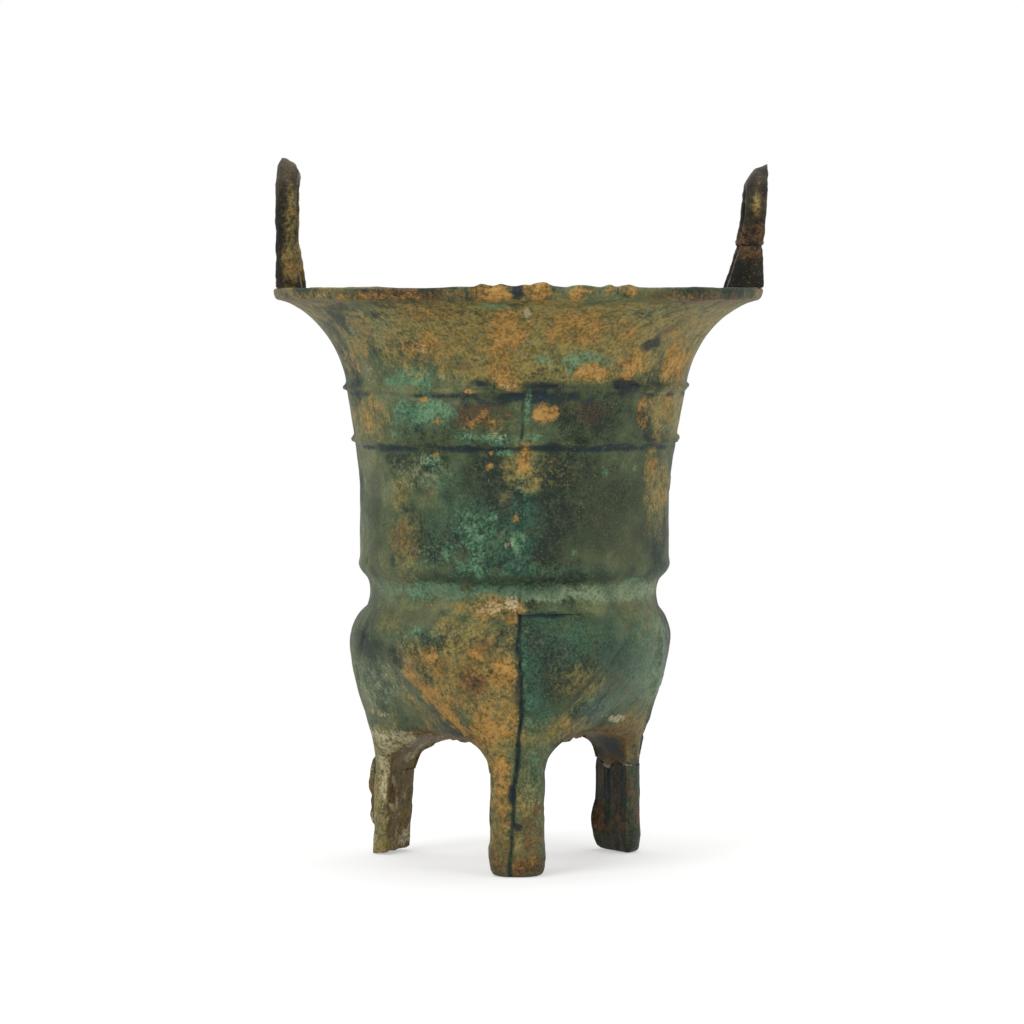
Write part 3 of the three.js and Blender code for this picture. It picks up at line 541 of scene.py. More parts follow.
def seam_distance(points, angle, radius, mark):
    """How far right of a wandering seam the points lie."""
    z = points[..., 2]
    loose = 0.9 * noise(points, 26.0, 4, 2) * within(z, (90, 105), (142, 125))
    sway = 0.7 * noise(points, 15.0, 5, 2) + loose - follow(SEAM_WANDER, z)
    return np.radians(turn_from(angle, mark)) * radius + sway


def seam_relief(points, angle, radius, step):
    """Mould seams: the left of each stands proud, with a fine groove beside the edge."""
    relief = 0.0
    for mark in SEAM_BEARINGS:
        across = seam_distance(points, angle, radius, mark)
        relief = relief + step * within(across, (-26, -2), (0.5, -0.5)) - 0.7 * step * bell(across, 0.9, 0.7)
    return relief


def seam_cover(points, angle, radius):
    """Dark lines in the seams, partly dirt and partly painted shade in their grooves: broken above the belly
    and unbroken below.
    """
    z = points[..., 2]
    broken = smooth(-0.35, 0.25, noise(points, 13.0, 6, 2) + 0.5 * smooth(112, 96, z))
    cover = 0.0
    for mark in SEAM_BEARINGS:
        cover = np.maximum(cover, bell(seam_distance(points, angle, radius, mark), 0.8, 0.9 + 0.7 * broken))
    firm = 0.25 + 0.6 * smooth(150, 135, z)
    return cover * (firm + (1.0 - firm) * broken)


def darken(fields, line, navy):
    """Dark dirt and painted shade in a seam or crease, with no bright crust over it."""
    add(fields, navy=navy * line, deep=line)
    fields["tone"] = fields["tone"] - 0.5 * line
    fade(fields, 0.9 * line, "wash", "rust", "ochre", "green", "pale", "light")


# Materials

def linear(red, green, blue):
    """A shader colour from the 0 to 255 that a picture shows."""
    def one(value):
        value = value / 255.0
        return value / 12.92 if value <= 0.04045 else ((value + 0.055) / 1.055) ** 2.4

    return (one(red), one(green), one(blue), 1.0)


class Shader:
    """A small wrapper round the node tree of a material or the world."""

    def __init__(self, owner):
        owner.use_nodes = True
        self.nodes, self.links = owner.node_tree.nodes, owner.node_tree.links
        self.owner = owner
        self.surface = self.nodes.get("Principled BSDF")
        self.place = self.add("TexCoord", {}).outputs["Object"] if self.surface else None

    def put(self, socket, value):
        if hasattr(value, "is_output"):
            self.links.new(value, socket)
        else:
            socket.default_value = value

    def add(self, kind, values):
        """A new node, with values or links put into its inputs."""
        node = self.nodes.new("ShaderNode" + kind)
        for name, value in values.items():
            self.put(node.inputs[name], value)
        return node

    def noise(self, size, detail=4.0, rough=0.6, distortion=0.0):
        values = {"Vector": self.place, "Scale": 1.0 / (size * MM), "Detail": detail, "Roughness": rough}
        return self.add("TexNoise", {**values, "Distortion": distortion}).outputs["Fac"]

    def cells(self, size):
        return self.add("TexVoronoi", {"Vector": self.place, "Scale": 1.0 / (size * MM)}).outputs["Distance"]

    def field(self, name):
        node = self.add("Attribute", {})
        node.attribute_name = name
        return node.outputs["Fac"]

    def math(self, operation, *values):
        node = self.add("Math", dict(enumerate(values)))
        node.operation = operation
        return node.outputs[0]

    def total(self, start, *parts):
        """Start plus each part's value times its gain."""
        for value, gain in parts:
            start = self.math("MULTIPLY_ADD", value, gain, start)
        return start

    def between(self, low, high, value):
        node = self.add("MapRange", {"Value": value, "From Min": low, "From Max": high})
        node.interpolation_type = "SMOOTHSTEP"
        return node.outputs["Result"]

    def mix(self, share, first, second):
        node = self.add("Mix", {0: share, 6: first, 7: second})
        node.data_type = "RGBA"
        return node.outputs[2]

    def backdrop_rays(self):
        """1 where the camera, a gloss or a clear body looks straight at the backdrop."""
        path = self.add("LightPath", {})
        seen = path.outputs["Is Camera Ray"]
        for kind in ("Is Glossy Ray", "Is Transmission Ray"):
            seen = self.math("MAXIMUM", seen, path.outputs[kind])
        return seen

    def finish(self, colour, roughness, gloss, height, depth, strength):
        """Sets the surface, with a bump of a depth in mm, and gives the material."""
        bump = self.add("Bump", {"Height": height, "Distance": depth * MM, "Strength": strength})
        looks = {"Base Color": colour, "Roughness": roughness, "Specular IOR Level": gloss,
                 "Normal": bump.outputs["Normal"]}
        for name, value in looks.items():
            self.put(self.surface.inputs[name], value)
        return self.owner


# Tints and crusts of the bronze, from the ground up: field, most cover, two tones, and how far each spreads
# The deep tint, the navy crust and the pale crust also carry painted light: shadow under the bands, the drum
# and the pot's lower edge, shade in seams and creases, and two glints.
TINT_SPREAD = (1.5, 2.35)
TINTS = (
    ("light", 0.9, (86, 108, 84), (150, 166, 130), TINT_SPREAD),
    ("teal", 0.9, (26, 60, 50), (72, 118, 92), TINT_SPREAD),
    ("deep", 0.92, (22, 30, 26), (60, 70, 52), TINT_SPREAD),
    ("wash", 0.92, (96, 85, 42), (162, 143, 80), (1.35, 2.2)),
)
RUST_TINT = ("rust", 0.88, (48, 34, 20), (122, 88, 52), TINT_SPREAD)
CRUSTS = (
    ("navy", 0.92, (26, 32, 32), (20, 44, 58), (1.9, 2.45), (0.4, 1.4, 0.8)),
    ("green", 0.82, (40, 86, 64), (112, 150, 112), (2.0, 2.7), (0.6, 1.0, 1.4)),
    ("ochre", 0.88, (124, 90, 40), (190, 146, 80), (1.95, 2.65), (0.5, 1.6, 0.8)),
    ("pale", 0.85, (150, 146, 112), (214, 200, 160), (2.05, 2.65), (0.3, 0.8, 1.8)),
)


def bronze(name, dark, middle, light):
    """Corroded bronze: a mottled and tinted ground under four layers of crust, and pale flecks that are
    partly crust and partly painted sparkle.
    """
    shade = Shader(bpy.data.materials.new(name))
    broad = shade.noise(13.0, 5.0, 0.62, 0.6)
    other = shade.noise(5.0, 6.0, 0.68, 0.6)
    fine = shade.noise(1.8, 6.0, 0.7)
    grain = shade.noise(0.55, 3.0, 0.6)

    def over(under, marks, most, top):
        return shade.mix(shade.math("MULTIPLY", marks, most), under, top)

    def tinted(under, field, most, dim, bright, spread):
        amount = shade.field(field)
        reach = shade.between(*spread, shade.total(amount, (broad, 0.8), (other, 1.2), (fine, 0.8)))
        share = shade.math("MULTIPLY", reach, shade.between(0.0, 0.35, amount))
        mottle = shade.between(0.9, 1.3, shade.total(0.0, (other, 0.7), (fine, 1.0), (grain, 0.5)))
        return over(under, share, most, shade.mix(mottle, linear(*dim), linear(*bright)))

    tone = shade.total(shade.field("tone"), (broad, 1.0), (other, 0.8), (fine, 1.2), (grain, 0.8))
    colour = shade.mix(shade.between(2.05, 2.55, tone), linear(*dark), linear(*middle))
    colour = shade.mix(shade.between(2.5, 3.1, tone), colour, linear(*light))
    for tint in TINTS:
        colour = tinted(colour, *tint)
    bloom = shade.between(0.5, 0.66, shade.noise(3.2, 5.0, 0.65, 0.4))
    bloom = shade.math("MULTIPLY", bloom, shade.between(0.1, 0.9, shade.field("wash")))
    colour = tinted(over(colour, bloom, 0.5, linear(112, 120, 100)), *RUST_TINT)

    shares = {}
    for field, most, dim, bright, spread, gains in CRUSTS:
        reach = shade.total(shade.field(field), *zip((broad, other, fine), gains), (grain, 0.4))
        shares[field] = shade.between(*spread, reach)
        mottle = shade.total(0.0, (broad, 0.6), (other, 0.5), (fine, 1.0), (grain, 0.4))
        crusted = shade.mix(shade.between(1.05, 1.45, mottle), linear(*dim), linear(*bright))
        colour = over(colour, shares[field], most, crusted)

    pits = shade.between(0.3, 0.12, shade.total(0.0, (shade.cells(1.5), 1.0), (other, 0.25)))
    spots = shade.between(0.24, 0.12, shade.total(0.0, (shade.cells(7.0), 1.0), (fine, 0.2)))
    # Pale flecks: partly crust, partly painted sparkle.
    flecks = shade.between(0.62, 0.74, shade.noise(1.0, 3.0, 0.5))
    colour = over(colour, pits, 0.65, linear(28, 27, 20))
    colour = over(colour, spots, 0.5, linear(38, 36, 26))
    colour = over(colour, flecks, 0.4, linear(166, 162, 130))
    rough = shade.total(0.44, (shares["ochre"], 0.2), (fine, 0.2))
    height = shade.total(0.0, (fine, 0.8), (grain, 0.4), (other, 0.6), (shares["ochre"], 0.3),
                         (shares["pale"], 0.3), (pits, -0.5))
    return shade.finish(colour, rough, 0.16, height, 0.8, 0.85)


def plain(name, first, second, size, roughness, bed=None):
    """A dull two-tone finish for clay, blackened metal and filler, whose flakes lie on a dark bed: painted
    shade of the break they fill.
    """
    shade = Shader(bpy.data.materials.new(name))
    speckle = shade.noise(size, 5.0, 0.65)
    colour = shade.mix(shade.between(0.35, 0.65, speckle), linear(*first), linear(*second))
    if bed:
        flake = shade.total(shade.field("flake"), (speckle, 0.5), (shade.noise(5.0), 0.4))
        colour = shade.mix(shade.between(0.35, 0.75, flake), linear(*bed), colour)
    return shade.finish(colour, roughness, 0.3, speckle, 0.6, 0.6)


WALL_TONES = ((34, 46, 36), (76, 88, 60), (118, 120, 84))
BRONZE_TONES = {
    "pot_bronze": WALL_TONES,
    "boiler_bronze": WALL_TONES,
    "leg_bronze": WALL_TONES,
    "handle_bronze": ((24, 21, 15), (52, 43, 27), (92, 78, 49)),
    "grate_bronze": ((40, 50, 40), (78, 88, 64), (116, 120, 90)),
    "chaplet_bronze": ((46, 50, 34), (90, 92, 60), (130, 126, 88)),
}
MATERIALS = {slot: bronze(slot, *tones) for slot, tones in BRONZE_TONES.items()}
MATERIALS["casting_clay"] = plain("casting_clay", (150, 118, 86), (176, 146, 112), 3.0, 0.9)
MATERIALS["repair_metal"] = plain("repair_metal", (24, 24, 22), (52, 48, 42), 1.5, 0.6)
MATERIALS["repair_filler"] = plain("repair_filler", (104, 102, 92), (176, 172, 160), 1.8, 0.85, (34, 30, 24))


# Pot

def column_angles(front_count, back_count):
    """Bearings round the vessel in degrees, closer together in front and at the seams."""
    front = np.linspace(-180, 0, front_count, endpoint=False)
    back = np.linspace(0, 180, back_count, endpoint=False)
    seams = [turn_from(mark + np.linspace(*SEAM_COLUMNS), 0.0) for mark in SEAM_BEARINGS]
    angles = np.unique(np.round(np.concatenate([front, back, *seams]), 3))
    kept = [angles[0]]
    for angle in angles[1:]:
        if angle - kept[-1] > LEAST_TURN:
            kept.append(angle)
    return np.array(kept)


def pot_outer_line():
    """The pot's outer face from the joint to the rim: rows of radius, height."""
    lip = (RIM_RADIUS - LIP_ROUND, LIP_Z)
    rise = DRUM_LOW - WAIST_Z
    neck = NECK_Z - DRUM_HIGH
    flare = RIM_RADIUS - LIP_ROUND - NECK_RADIUS
    up = LIP_Z - NECK_Z
    return np.concatenate([
        quadratic((JOINT_RADIUS, JOINT_Z), (WAIST_RADIUS, JOINT_Z + 4), (WAIST_RADIUS, WAIST_Z)),
        cubic((WAIST_RADIUS, WAIST_Z), (WAIST_RADIUS, WAIST_Z + rise / 2), (DRUM_RADIUS, WAIST_Z + rise / 2),
              (DRUM_RADIUS, DRUM_LOW))[1:],
        cubic((DRUM_RADIUS, DRUM_HIGH), (DRUM_RADIUS, DRUM_HIGH + neck / 3),
              (NECK_RADIUS - neck / 30, NECK_Z - neck / 4), (NECK_RADIUS, NECK_Z)),
        cubic((NECK_RADIUS, NECK_Z), (NECK_RADIUS + flare / 16, NECK_Z + up / 3),
              (NECK_RADIUS + flare * 0.4, LIP_Z - up / 7), lip)[1:],
        quadratic(lip, (RIM_RADIUS, LIP_Z), (RIM_RADIUS, RIM_Z))[1:],
    ])


POT_LINE = pot_outer_line()


def pot_radius(z):
    return np.interp(z, POT_LINE[:, 1], POT_LINE[:, 0])


def pot_outline():
    """The wall's closed section, up the outside, over the lip and down the inside, with two flags for each
    point: whether it is outside and whether it is on top."""
    body = POT_LINE[POT_LINE[:, 1] < RIM_Z - LIP_EDGE]
    outside = spaced(body, OUTSIDE_STEP)
    quarter = np.linspace(0, math.pi / 2, 4)
    outer_edge = np.stack([RIM_RADIUS - LIP_EDGE * (1 - np.cos(quarter)),
                           RIM_Z - LIP_EDGE * (1 - np.sin(quarter))], axis=1)
    inner_edge = np.stack([RIM_RADIUS - LIP_WIDTH + LIP_EDGE * (1 - np.sin(quarter)),
                           RIM_Z - LIP_EDGE * (1 - np.cos(quarter))], axis=1)
    top = np.array([[RIM_RADIUS - 0.4 * LIP_WIDTH, RIM_Z], [RIM_RADIUS - 0.6 * LIP_WIDTH, RIM_Z]])
    along = np.gradient(POT_LINE, axis=0)
    along = along / np.linalg.norm(along, axis=1, keepdims=True)
    inner = POT_LINE + WALL * np.stack([-along[:, 1], along[:, 0]], axis=1)
    on_wall = (inner[:, 0] < RIM_RADIUS - LIP_WIDTH - 0.5) & (inner[:, 1] < RIM_Z - WALL)
    inner = spaced(inner[on_wall & (inner[:, 1] > JOINT_Z)][::-1], INSIDE_STEP)
    inner = np.concatenate([inner, [[JOINT_RADIUS - WALL, JOINT_Z]]])
    points = np.concatenate([outside, outer_edge, top, inner_edge, inner])
    row = np.arange(len(points))
    first = len(outside) + len(outer_edge)
    return points, row < first, (row >= first - 2) & (row < first + len(top) + 2)


def pot_relief(points, angle, radius, z, outside, fields):
    """How far the pot's face stands out from its plain section."""
    level = tall(points, 0.0)
    right = smooth(-1.0, 1.0, turn_from(angle, SEAM_BEARINGS[0]))
    seam = 0.3 + 0.4 * within(z, *NECK_FADES) + 0.6 * smooth(172, 160, z)
    front = seam_relief(points, angle, radius, 1.0) * seam
    for k, height in enumerate(BANDS):
        middle = height + 0.7 * noise(level, 30.0, 3 + k) + 0.7 * right
        strength = BAND_PROUD * (0.9 + 0.22 * noise(level, 11.0, 9 + k))
        front = front + strength * smooth(*BAND_EDGE, np.abs(z - middle))
    lip = smooth(LIP_Z - 1.0, LIP_Z + 1.5, z)
    lumps = fields["ochre"] * (0.9 + 0.8 * noise(points, 6.0, 14, 2)) + 0.3 * noise(points, 17.0, 15)
    front = front + lip * lumps
    for mark in POT_CHAPLETS:
        away = np.hypot(np.radians(turn_from(angle, mark)) * radius, z - POT_CHAPLET_Z)
        front = front - 0.9 * bell(away, *CHAPLET_DENT) + 0.3 * bell(away, *CHAPLET_DENT_RIM)
    front = front + 0.7 * bell(z, DRUM_LOW - 1.0, 3.0) - 0.7 * bell(z, DRUM_LOW - 9.0, 3.0)
    return crust(points, fields, POT_SEED) + np.where(outside, front, 0.0)


def pot_colours(fields, grid, angle, radius, face, facing):
    """Lighter flare away from the camera's side, partly stain and partly painted sheen at its edges; stains
    beside the seams; dark seam lines, partly dirt and partly painted shade in their grooves; painted shadow
    under the bands.
    """
    z = grid[..., 2]
    # Lighter and browner where the flare turns from the camera, round to the back: partly stain, partly
    # painted sheen along its edges.
    limb_stain_and_sheen = smooth(0.45, 0.1, facing) * smooth(296, 310, z) * face
    fade(fields, 0.7 * limb_stain_and_sheen, "navy", "deep", "teal", "green")
    add(fields, wash=0.5 * limb_stain_and_sheen, light=0.5 * limb_stain_and_sheen * smooth(318, 314, z),
        rust=0.5 * limb_stain_and_sheen * smooth(315, 319, z))
    # Dark seam lines, partly dirt and partly painted shade in their grooves.
    seams = seam_cover(grid, angle, radius) * face
    drum = within(z, (164, 172), (240, 232)) * face
    beside = bell(seam_distance(grid, angle, radius, SEAM_BEARINGS[0]), 0.0, 2.2) * drum
    lines = seams * (0.2 + 0.25 * drum + 0.6 * within(z, *NECK_FADES) + 0.4 * smooth(165, 155, z))
    # Painted shadow under each band: a broken navy line BAND_SHADOW_DROP below the band's middle.
    broken = smooth(-0.3, 0.5, noise(grid, 14.0, 16, 2))
    for height in BANDS:
        lines = np.maximum(lines, (0.3 + 0.6 * broken) * bell(z, height - BAND_SHADOW_DROP, 1.0 + broken) * face)
    add(fields, green=0.5 * beside, deep=0.7 * seams * drum, navy=lines)


def build_pot():
    outline, outside, on_top = pot_outline()
    angles = column_angles(*POT_COLUMNS)
    turn = np.radians(angles)[None, :]
    radius, z = outline[:, :1] + 0 * turn, outline[:, 1:] + 0 * turn
    grid = around(radius, turn, z)
    normal = grid_normals(grid, True)
    face = outside[:, None] & np.ones_like(z, bool)
    facing = np.where(face, -normal[..., 1], 0.0)
    facing = np.where(on_top[:, None], -np.sin(turn), facing)
    fields = corrosion(grid, facing)
    angle = angles[None, :] + 0 * z
    relief = pot_relief(grid, angle, radius, z, face, fields)
    swell = within(grid[..., 0], *LIP_SWELL) * (grid[..., 1] < 0)
    lumps = 0.7 * swell + fields["ochre"] * (0.8 + 0.7 * noise(grid, 7.0, 13, 2))
    relief = (relief + on_top[:, None] * lumps) * (0.25 + 0.75 * smooth(JOINT_Z, JOINT_Z + 2.0, z))
    pot_colours(fields, grid, angle, radius, face, facing)
    grid = grid + normal * relief[..., None]
    make_mesh("pot_wall", grid, fields, "pot_bronze", "zeng_pot", grid_faces(*z.shape, True))


# Boiler and legs

LOBES = spline(LOBE_RADII)
CLEFTS = spline(CLEFT_RADII)
ARC = np.linspace(-90, 90, ARC_COLUMNS)
CORNER = math.degrees(math.atan2(LEG_HALF_WIDTH, LEG_INNER))


def sag_at(off, drop):
    """How far the belly hangs below the crotch's height, off degrees from the middle of a lobe."""
    return CLEFT_SAG + (drop - CLEFT_SAG) * (1 + np.cos(np.radians(3 * off))) / 2


def belly_radius(off, z, drop, inset=0.0):
    """Outer radius of the lobed belly, off degrees from the middle of a lobe."""
    sag = sag_at(off, drop)
    whole = BELLY_HEIGHT + 2 * sag
    inner = np.maximum(whole ** 2 - 4 * sag * (z - CROTCH_Z + sag), 0)
    share = np.clip((whole - np.sqrt(inner)) / (2 * sag), 0, 1)
    lobe = np.interp(share, LOBES[:, 1], LOBES[:, 0])
    cleft = np.interp(share, CLEFTS[:, 1], CLEFTS[:, 0])
    return cleft + (lobe - cleft) * (1 + np.cos(np.radians(3 * off))) / 2 - inset


def root_shape(z, top):
    """Inner face, outer face and half width of a leg's root at a height."""
    rise = np.arcsin(np.clip((z - top) / ROOT_RADIUS, 0, 1))
    spread = ROOT_RADIUS * (1 - np.cos(rise))
    outer = LEG_OUTER + (LOBE_RADII[0] - LEG_OUTER) * rise / (math.pi / 2)
    return LEG_INNER - spread, outer, LEG_HALF_WIDTH + spread


def half_round_radius(off, inner, outer, half):
    """Distance from the axis to a half round column's outer face, off degrees from its middle."""
    tangent = np.tan(np.radians(np.abs(off)))
    depth = outer - inner
    reach = np.clip(inner * tangent / np.hypot(half, depth * tangent), -1, 1)
    angle = np.minimum(np.arcsin(reach) + np.arctan2(depth * tangent, half), math.pi / 2)
    return np.hypot(inner + depth * np.cos(angle), half * np.sin(angle))


def leg_offsets():
    """Bearings across a leg, off its middle, at even steps round its half round."""
    arc = np.radians(ARC)
    x = LEG_INNER + (LEG_OUTER - LEG_INNER) * np.cos(arc)
    return np.degrees(np.arctan2(LEG_HALF_WIDTH * np.sin(arc), x))


def lower_edge(off, drop):
    """Height of the boiler's lower edge: a leg's top, rising through the root's fillet to the crotch."""
    tangent = np.tan(np.radians(np.minimum(np.abs(off), 75)))
    spread = np.clip((LEG_INNER * tangent - LEG_HALF_WIDTH) / (1 + tangent), 0, ROOT_RADIUS)
    root = LEG_HEIGHT - drop + ROOT_RADIUS * np.sin(np.arccos(1 - spread / ROOT_RADIUS))
    body = CROTCH_Z - sag_at(off, drop)
    share = smooth(*FILLET_SIDES, np.abs(off))
    return root * (1 - share) + body * share


def boiler_columns():
    """Bearing of each column, its offset from the leg of its third, and how low that leg's root starts."""
    inside = leg_offsets()
    beyond = np.linspace(CORNER, 60, ARCH_COLUMNS + 1)[1:]
    off = np.concatenate([-beyond[::-1], inside, beyond[:-1]])
    bearing = np.concatenate([off + mark for mark in LEG_BEARINGS])
    return bearing, np.tile(off, 3), np.repeat(np.array(LEG_DROPS), len(off))


def outer_wall_radius(off, z, drop):
    """Outer radius of the boiler: a leg's root below, the belly above and between."""
    top = LEG_HEIGHT - drop
    root = half_round_radius(np.clip(off, -ROOT_LIMIT, ROOT_LIMIT), *root_shape(z, top))
    body = belly_radius(off, z, drop)
    share = smooth(*ROOT_TO_BELLY, z - top)
    share = share + (1 - share) * smooth(*ROOT_SIDES, np.abs(off))
    return root * (1 - share) + body * share


def boiler_relief(points, angle, radius, z, off, fields):
    """How far the boiler's face stands out: crust, seams, each lobe's ridge and crease, a ledge on top."""
    relief = crust(points, fields, BOILER_SEED) + seam_relief(points, angle, radius, 1.1)
    along = np.radians(off) * radius + 2.5 * noise(points, 22.0, 8, 2)
    left = (along + z - RIDGE_Z) / math.sqrt(2)
    right = (z - along - CREASE_Z) / math.sqrt(2)
    ridge = 0.9 * bell(left, 1.5, 2.6) + 0.5 * within(left, *RIDGE_FADES)
    crease = -0.8 * bell(right, 0.0, 1.5) + 0.5 * within(right, *RIDGE_FADES)
    on_lobe = within(z, (LEG_HEIGHT + 6, CROTCH_Z + 4), (140, 126))
    relief = relief + on_lobe * (ridge * smooth(8, -4, along) + crease * smooth(-8, 4, along))
    ledge = sum(within(turn_from(angle, mark), (0.2, 1.2), (26, 8)) for mark in SEAM_BEARINGS)
    return relief - 0.55 * ledge * (1.0 + 0.6 * noise(points, 16.0, 10, 2)) * smooth(128, 145.5, z)


def at_joint(normal, radius, off, angle, z, top):
    """Normals that turn level near a leg's top, so that the leg and its root are swelled alike there."""
    turn = np.radians(off)
    x, y = radius * np.cos(turn) - LEG_INNER + 4.0, radius * np.sin(turn)
    bearing = np.radians(angle - off)
    ahead = x * np.cos(bearing) - y * np.sin(bearing)
    aside = x * np.sin(bearing) + y * np.cos(bearing)
    level = np.stack([ahead, aside, 0 * z], axis=-1)
    level = level / np.maximum(np.linalg.norm(level, axis=-1, keepdims=True), 1e-9)
    share = smooth(7.0, 1.0, np.abs(z - top)) * smooth(CORNER + 4.0, CORNER, np.abs(off))
    return normal * (1.0 - share[..., None]) + level * share[..., None]


def boiler_rows(off, drop, edge, between_legs):
    """Radius and height of each row: down the outside, in under roots and vault, and up the inside."""
    z = JOINT_Z + (edge - JOINT_Z) * np.linspace(0, 1, WALL_ROWS)[:, None]
    tuck = EDGE_TUCK * between_legs * smooth(EDGE_HEIGHT, 0.0, z - edge) ** 1.5
    radius = outer_wall_radius(off, z, drop) - tuck
    rows = [(radius, z)]

    edge_radius = radius[-1:]
    inner_edge = np.where(np.abs(off) < CORNER, LEG_INNER / np.cos(np.radians(off)), edge_radius - 0.6)
    inner_edge = np.minimum(inner_edge, edge_radius - 0.3)
    rows.append((edge_radius + (inner_edge - edge_radius) * np.linspace(0, 1, LIP_ROWS + 1)[1:, None], edge))

    in_leg = smooth(*VAULT_SIDES, np.abs(off))
    vault_z = (LEG_HEIGHT - drop + ROOT_RADIUS) * in_leg + (edge + 1.6) * (1 - in_leg)
    vault_z = np.maximum(vault_z, edge + 0.3)
    rise = np.linspace(0, 1, SOFFIT_ROWS + 1)[1:, None]
    up = edge + (vault_z - edge) * rise
    slant = np.cos(np.radians(np.clip(off, -45, 45)))
    root_face = np.minimum(root_shape(up, LEG_HEIGHT - drop)[0] / slant, inner_edge - 0.2 * rise)
    ramp = inner_edge + (np.minimum(inner_edge - 5.0, VAULT_RADIUS / slant) - inner_edge) * rise
    soffit = root_face * in_leg + ramp * (1 - in_leg)
    shares = np.linspace(1, 0, VAULT_ROWS + 1)[1:, None]
    vault = vault_z + (CROTCH_Z + VAULT_RISE - vault_z) * (1 - shares ** 4)
    rows += [(soffit, up), (soffit[-1:] * shares, vault)]

    shares = np.linspace(0, 1, INNER_FLOOR_ROWS)[:, None]
    sag = sag_at(off, drop)
    inner_floor = CROTCH_Z + WALL + VAULT_RISE * (1 - shares ** 2) - sag * shares ** 2
    low = CROTCH_Z + WALL - sag
    inside = low + (JOINT_Z - low) * np.linspace(0, 1, INNER_WALL_ROWS + 1)[1:, None]
    inside_radius = belly_radius(off, inside - WALL * (JOINT_Z - inside) / BELLY_HEIGHT, drop, WALL)
    rows += [(belly_radius(off, CROTCH_Z - sag, drop, WALL) * shares, inner_floor), (inside_radius, inside)]
    return np.concatenate([r for r, h in rows]), np.concatenate([h + 0 * r for r, h in rows])


def boiler_colours(fields, grid, angle, radius, rim, wall, beneath):
    """Stains beside the seams and round the arches, and dark seam lines, partly dirt and partly painted shade
    in their grooves.
    """
    z = grid[..., 2]
    seams = seam_cover(grid, angle, radius) * wall
    across = seam_distance(grid, angle, radius, SEAM_BEARINGS[0])
    beside = within(across, (0.5, 2.5), (34, 8)) * smooth(72, 92, z) * wall
    fade(fields, 0.75 * beside, "wash", "ochre", "rust")
    add(fields, teal=0.7 * beside, green=0.4 * smooth(10, 3, across) * beside)
    darken(fields, seams, 0.8)
    brown = np.maximum(rim, beneath)
    fade(fields, 0.5 * beneath, "wash")
    add(fields, rust=0.6 * brown, wash=0.5 * brown, deep=0.4 * rim + 0.2 * beneath)
    fade(fields, 0.8 * brown, "green", "teal", "light")


def build_boiler():
    bearing, off, drop = boiler_columns()
    off, drop, turn = off[None, :], drop[None, :], np.radians(bearing)[None, :]
    between_legs = smooth(CORNER + 2, CORNER + 8, np.abs(off))
    broken = (drop == LEG_DROPS[RIGHT_LEG]) * smooth(CORNER + 0.5, CORNER - 0.5, np.abs(off))
    crack = broken * follow(BREAK_LINE, LEG_INNER * np.tan(np.radians(np.clip(off, -45, 45))))
    ring = RAGGED_RING * np.stack([np.cos(turn), np.sin(turn), 0 * turn], axis=-1)
    edge = lower_edge(off, drop) + 1.1 * noise(ring, 3.0, 12) * between_legs + crack
    radius, z = boiler_rows(off, drop, edge, between_legs)
    grid = around(radius, turn, z)
    normal = -grid_normals(grid, True)
    row = np.arange(len(z))[:, None] + 0 * off
    fields = corrosion(grid, np.where(row < OUTER_ROWS, -normal[..., 1], 0.0))
    angle, off, top = bearing[None, :] + 0 * z, off + 0 * z, LEG_HEIGHT - drop + 0 * z
    by_leg = smooth(12.0, 3.0, z - top) * smooth(CORNER + 6.0, CORNER, np.abs(off))
    inner_crust = (0.5 + 0.5 * by_leg) * crust(grid, fields, BOILER_SEED)
    wall = row < WALL_ROWS + LIP_ROWS
    relief = np.where(wall, boiler_relief(grid, angle, radius, z, off, fields), inner_crust)
    normal = at_joint(normal, radius, off, angle, z, top)
    beneath = (row >= WALL_ROWS) & (row < OUTER_ROWS)
    rim = smooth(5.5, 2.0, z - edge) * between_legs * wall
    boiler_colours(fields, grid, angle, radius, rim, wall, beneath)

    left_root = (drop == LEG_DROPS[LEFT_LEG]) & (z < 90)
    front = left_root * (row < WALL_ROWS)
    x, y = radius * np.cos(np.radians(off)), radius * np.sin(np.radians(off))
    flat = left_root * beneath * smooth(34, 20, np.abs(off))
    strip = front * smooth(*STRIP_EDGE, y) * smooth(CORNER + 34, CORNER + 12, off) * smooth(86, 66, z)
    fin = front * left_fin(x, y, z)
    left_leg_colours(fields, flat, strip, fin, grid)
    grid = grid + normal * (relief + fin)[..., None]
    make_mesh("boiler_wall", grid, fields, "boiler_bronze", "li_boiler", grid_faces(*z.shape, True)[:, ::-1])


def leg_inset(z, name, leg_top):
    """How far a leg's section is drawn in at a height: rounded at the sole, flared just above it."""
    if name == "rear_left":
        return BROKEN_TAPER * (1 - z / leg_top)
    low = FOOT_ROUND * (1 - np.sqrt(np.clip(1 - (1 - z / FOOT_ROUND) ** 2, 0, 1)))
    return np.where(z < FOOT_ROUND, low, -FOOT_FLARE * follow(FOOT_LINE, z))


def leg_ring(inset):
    """Section of a leg, along its half round and back along its flat face. Inset has one value a row."""
    arc = np.radians(ARC)[None, :]
    inset = inset[:, None]
    inner, outer, half = LEG_INNER + inset, LEG_OUTER - inset, LEG_HALF_WIDTH - inset
    round_x = inner + (outer - inner) * np.cos(arc)
    round_y = half * np.sin(arc)
    flat_y = half * (np.tan(np.radians(leg_offsets()[1:-1])) * LEG_INNER / LEG_HALF_WIDTH)[None, ::-1]
    x = np.concatenate([round_x, inner + 0 * flat_y], axis=1)
    y = np.concatenate([round_y, flat_y], axis=1)
    return x, y


